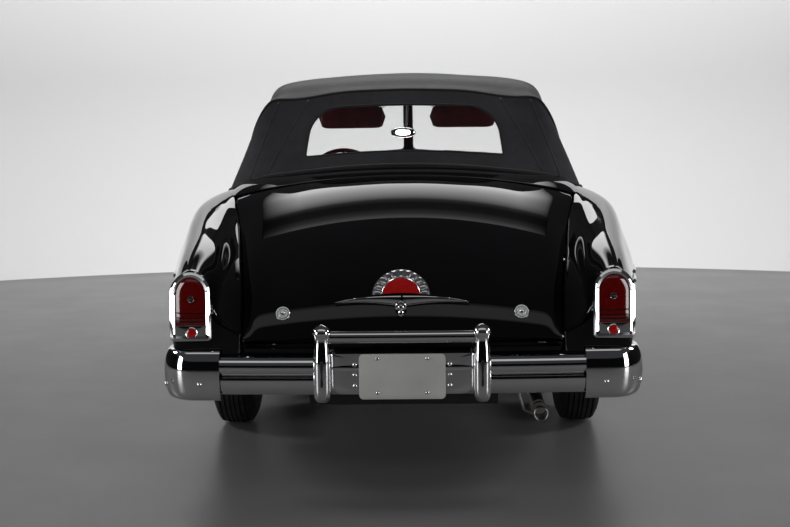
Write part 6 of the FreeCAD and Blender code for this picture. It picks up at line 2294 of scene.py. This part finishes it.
hose = tube(((0.15, -1.95, 0.7), (0.15, -2.06, 0.745), (0.165, -2.18, 0.79), (0.17, -2.312, 0.8)),
            0.021, many=20)
belt = []
for (x, z, radius), start, stop in ((PULLEYS[0], 190, 345), (PULLEYS[2], -30, 75), (PULLEYS[1], 80, 190)):
    belt += [Vector((x + radius * cos(a), -2.012, z + radius * sin(a))) for a in degrees(start, stop, 8)]
belt_section = [(-0.004, -0.006), (0.004, -0.006), (0.004, 0.006), (-0.004, 0.006)]
soft_parts = joined(both_hands(hose), moulding(belt, [BACK] * len(belt), belt_section, closed=True))
fitted("engine_hoses_and_belt", soft_parts, SEAL_RUBBER)
print("engine bay dressed")

# %% [markdown]
# ## Insides of the panels
# A door is a box: an outer skin, jambs all round and an inner wall with a trimmed card. Lids are stiffened
# by a second pressing under the skin. Each wheel turns in a house of its own that keeps the road out of
# the trunk and off the engine.

# %% Door shells and trimmed cards
def door_row(share, lift=0.0):
    """The door's outline at a share of its length: outer points, and its inner wall from top to bottom."""
    y = DOOR_FRONT + DOOR_REACH * share
    section = [p for p in side_section(y) if p.z > 0.338]
    foot, top = section[0], section[-1]
    inner = []
    for s in spread(0, 1, 12):
        x = (foot.x - 0.088) * (1 - s) + (top.x + 0.012) * s + 0.012 * sin(pi * s)
        inner.append(Vector((x - lift, y, 0.352 + (top.z - 0.372) * s)))
    return section, inner


def door_shell():
    rows = []
    for share in spread(0.004, 0.995, 48):
        section, inner = door_row(share)
        loop = [p - Vector((0.004, 0, 0)) for p in section] + list(reversed(inner))
        row = [door_place(p, share) for p in loop]
        rows.append(row + row[:1])
    return closed_up(sheet_of(rows))


def door_card():
    """Leather over board, pleated upright between two grooves that take the bright strips."""
    rows = []
    for share in spread(0.03, 0.965, 96):
        _, inner = door_row(share, 0.006)
        dense = through(inner, [4] * 12)
        row = []
        for p in dense[3:-2]:
            groove = exp(-((p.z - 0.52) / 0.006) ** 2) + exp(-((p.z - 0.82) / 0.006) ** 2)
            if 0.53 < p.z < 0.81:
                gap = abs((share * 18) % 1.0 - 0.5) / 18
                groove += exp(-(gap / 0.0045) ** 2)
            row.append(door_place(p + Vector((0.004 * groove, 0, 0)), share))
        rows.append(row)
    return outward_to(sheet_of(rows), INWARD)


def door_fittings():
    bm = bmesh.new()
    for z in (0.512, 0.828):
        line = []
        for share in spread(0.035, 0.96, 40):
            _, inner = door_row(share, 0.007)
            a = min(inner, key=lambda p: abs(p.z - z))
            line.append(door_place(Vector((a.x, a.y, z)), share))
        merge_into(bm, moulding(line, [INWARD] * 41, bead(0.005, 0.004)))
    for share, z, length in ((0.62, 0.77, 0.075), (0.4, 0.77, 0.095)):
        _, inner = door_row(share, 0.008)
        at = door_place(min(inner, key=lambda p: abs(p.z - z)), share)
        merge_into(bm, spun([(-0.004, 0.0001), (-0.004, 0.024), (0.004, 0.023), (0.01, 0.014),
                             (0.024, 0.01), (0.026, 0.0001)], at, INWARD, 28))
        tip = at + Vector((-0.026, length, -0.012))
        crank = [at + INWARD * 0.02, at.lerp(tip, 0.5) + Vector((-0.006, 0, 0.003)), tip]
        merge_into(bm, tube(crank, 0.0055, many=12))
        if length > 0.08:
            merge_into(bm, spun([(-0.002, 0.0001), (-0.002, 0.006), (0.004, 0.01), (0.018, 0.012),
                                 (0.026, 0.009), (0.028, 0.0001)], tip, INWARD, 20))
    return bm


def belt_line(out):
    line = []
    for share in spread(0.006, 0.991, 48):
        section, _ = door_row(share)
        line.append(door_place(section[-1] + Vector((-0.004, 0, out)), share))
    return moulding(line, [UP] * 49, bead(0.0065, 0.005, 0.001))

# %% Doors fitted out
for side in ("left", "right"):
    turn_over = mirror_copy if side == "right" else lambda bm: bm
    body = f"door_{side}"
    fitted(f"door_shell_{side}", turn_over(door_shell()), BODY_BLACK, body=body)
    card = piece(f"door_card_{side}", turn_over(door_card()), MAROON_LEATHER, angle=50)
    thicken(card, 0.003)
    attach(card, body)
    fitted(f"door_inner_fittings_{side}", turn_over(door_fittings()), CHROME, body=body)
    fitted(f"door_belt_trim_{side}", turn_over(belt_line(0.001)), CHROME, body=body, angle=None)
print("doors are boxed, trimmed and fitted with cranks")

# %% Wheel houses
def wheel_house(y, inner_x, radius, low_wall):
    profile = [(0.925, radius), (0.8, radius), (0.7, radius), (inner_x + 0.02, radius),
               (inner_x, radius - 0.02), (inner_x, radius * 0.75), (inner_x, low_wall)]
    rows = [[Vector((x, y + r * cos(a), AXLE_Z + r * sin(a))) for x, r in profile]
            for a in degrees(-4, 184, 48)]
    return outward(sheet_of(rows))


houses = joined(wheel_house(REAR_AXLE, 0.602, 0.394, 0.13), wheel_house(FRONT_AXLE, 0.462, 0.398, 0.16))
liner = piece("wheel_houses", both_hands(houses), CHASSIS, angle=45)
thicken(liner, 0.002, 1.0)
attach(liner, "chassis")
bulkhead = boxes(((-0.606, 1.134, 0.585), (0.606, 1.14, 1.0), 0.002),
                 ((-0.64, 1.14, 0.996), (0.64, 1.18, 1.002), 0.002))
fitted("trunk_bulkhead", bulkhead, CHASSIS)
carpet = boxes(((-0.7, -0.3, 0.3505), (-0.172, 0.56, 0.3575), 0.003),
               ((-0.64, -1.09, 0.3505), (-0.172, -0.302, 0.3575), 0.003))
fitted("floor_carpets", both_hands(carpet), CARPET)
fitted("trunk_mat", rounded_box((-0.6, 1.745, 0.5625), (0.6, 2.4, 0.5665), 0.0015), SEAL_RUBBER)
print("wheel houses, bulkhead and carpets in place")

# %% Inner pressings of hood and lid
def inner_pressing(ridge, low, high, inset, drop, ribs):
    """A second skin under a lid, swaged down between its ribs; ribs are places along y."""
    bm = crown_sheet(ridge, low, high, inset, 12.0)
    for vertex in bm.verts:
        far = abs(vertex.co.x)
        rib = max([exp(-((vertex.co.y - y) / 0.03) ** 2) for y in ribs] + [exp(-((far - 0.24) / 0.03) ** 2)])
        vertex.co.z -= drop + 0.01 * (1 - rib)
        if vertex.co.y > 2.3:
            vertex.co.y -= 0.1 * (vertex.co.y - 2.3)
    return outward_to(bm, -UP)


for name, ridge, low, high, inset, drop, ribs in (
        ("hood_inner", HOOD, -2.44, -1.075, 0.05, 0.006, (-2.42, -2.05, -1.55, -1.09)),
        ("deck_lid_inner", DECK, 1.515, 2.44, 0.06, 0.006, (1.53, 1.85, 2.15, 2.43))):
    made = piece(name, inner_pressing(ridge, low, high, inset, drop, ribs), CHASSIS, angle=50)
    thicken(made, 0.0012, 1.0)
    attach(made, name.replace("_inner", ""))
print("hood and lid stiffened")
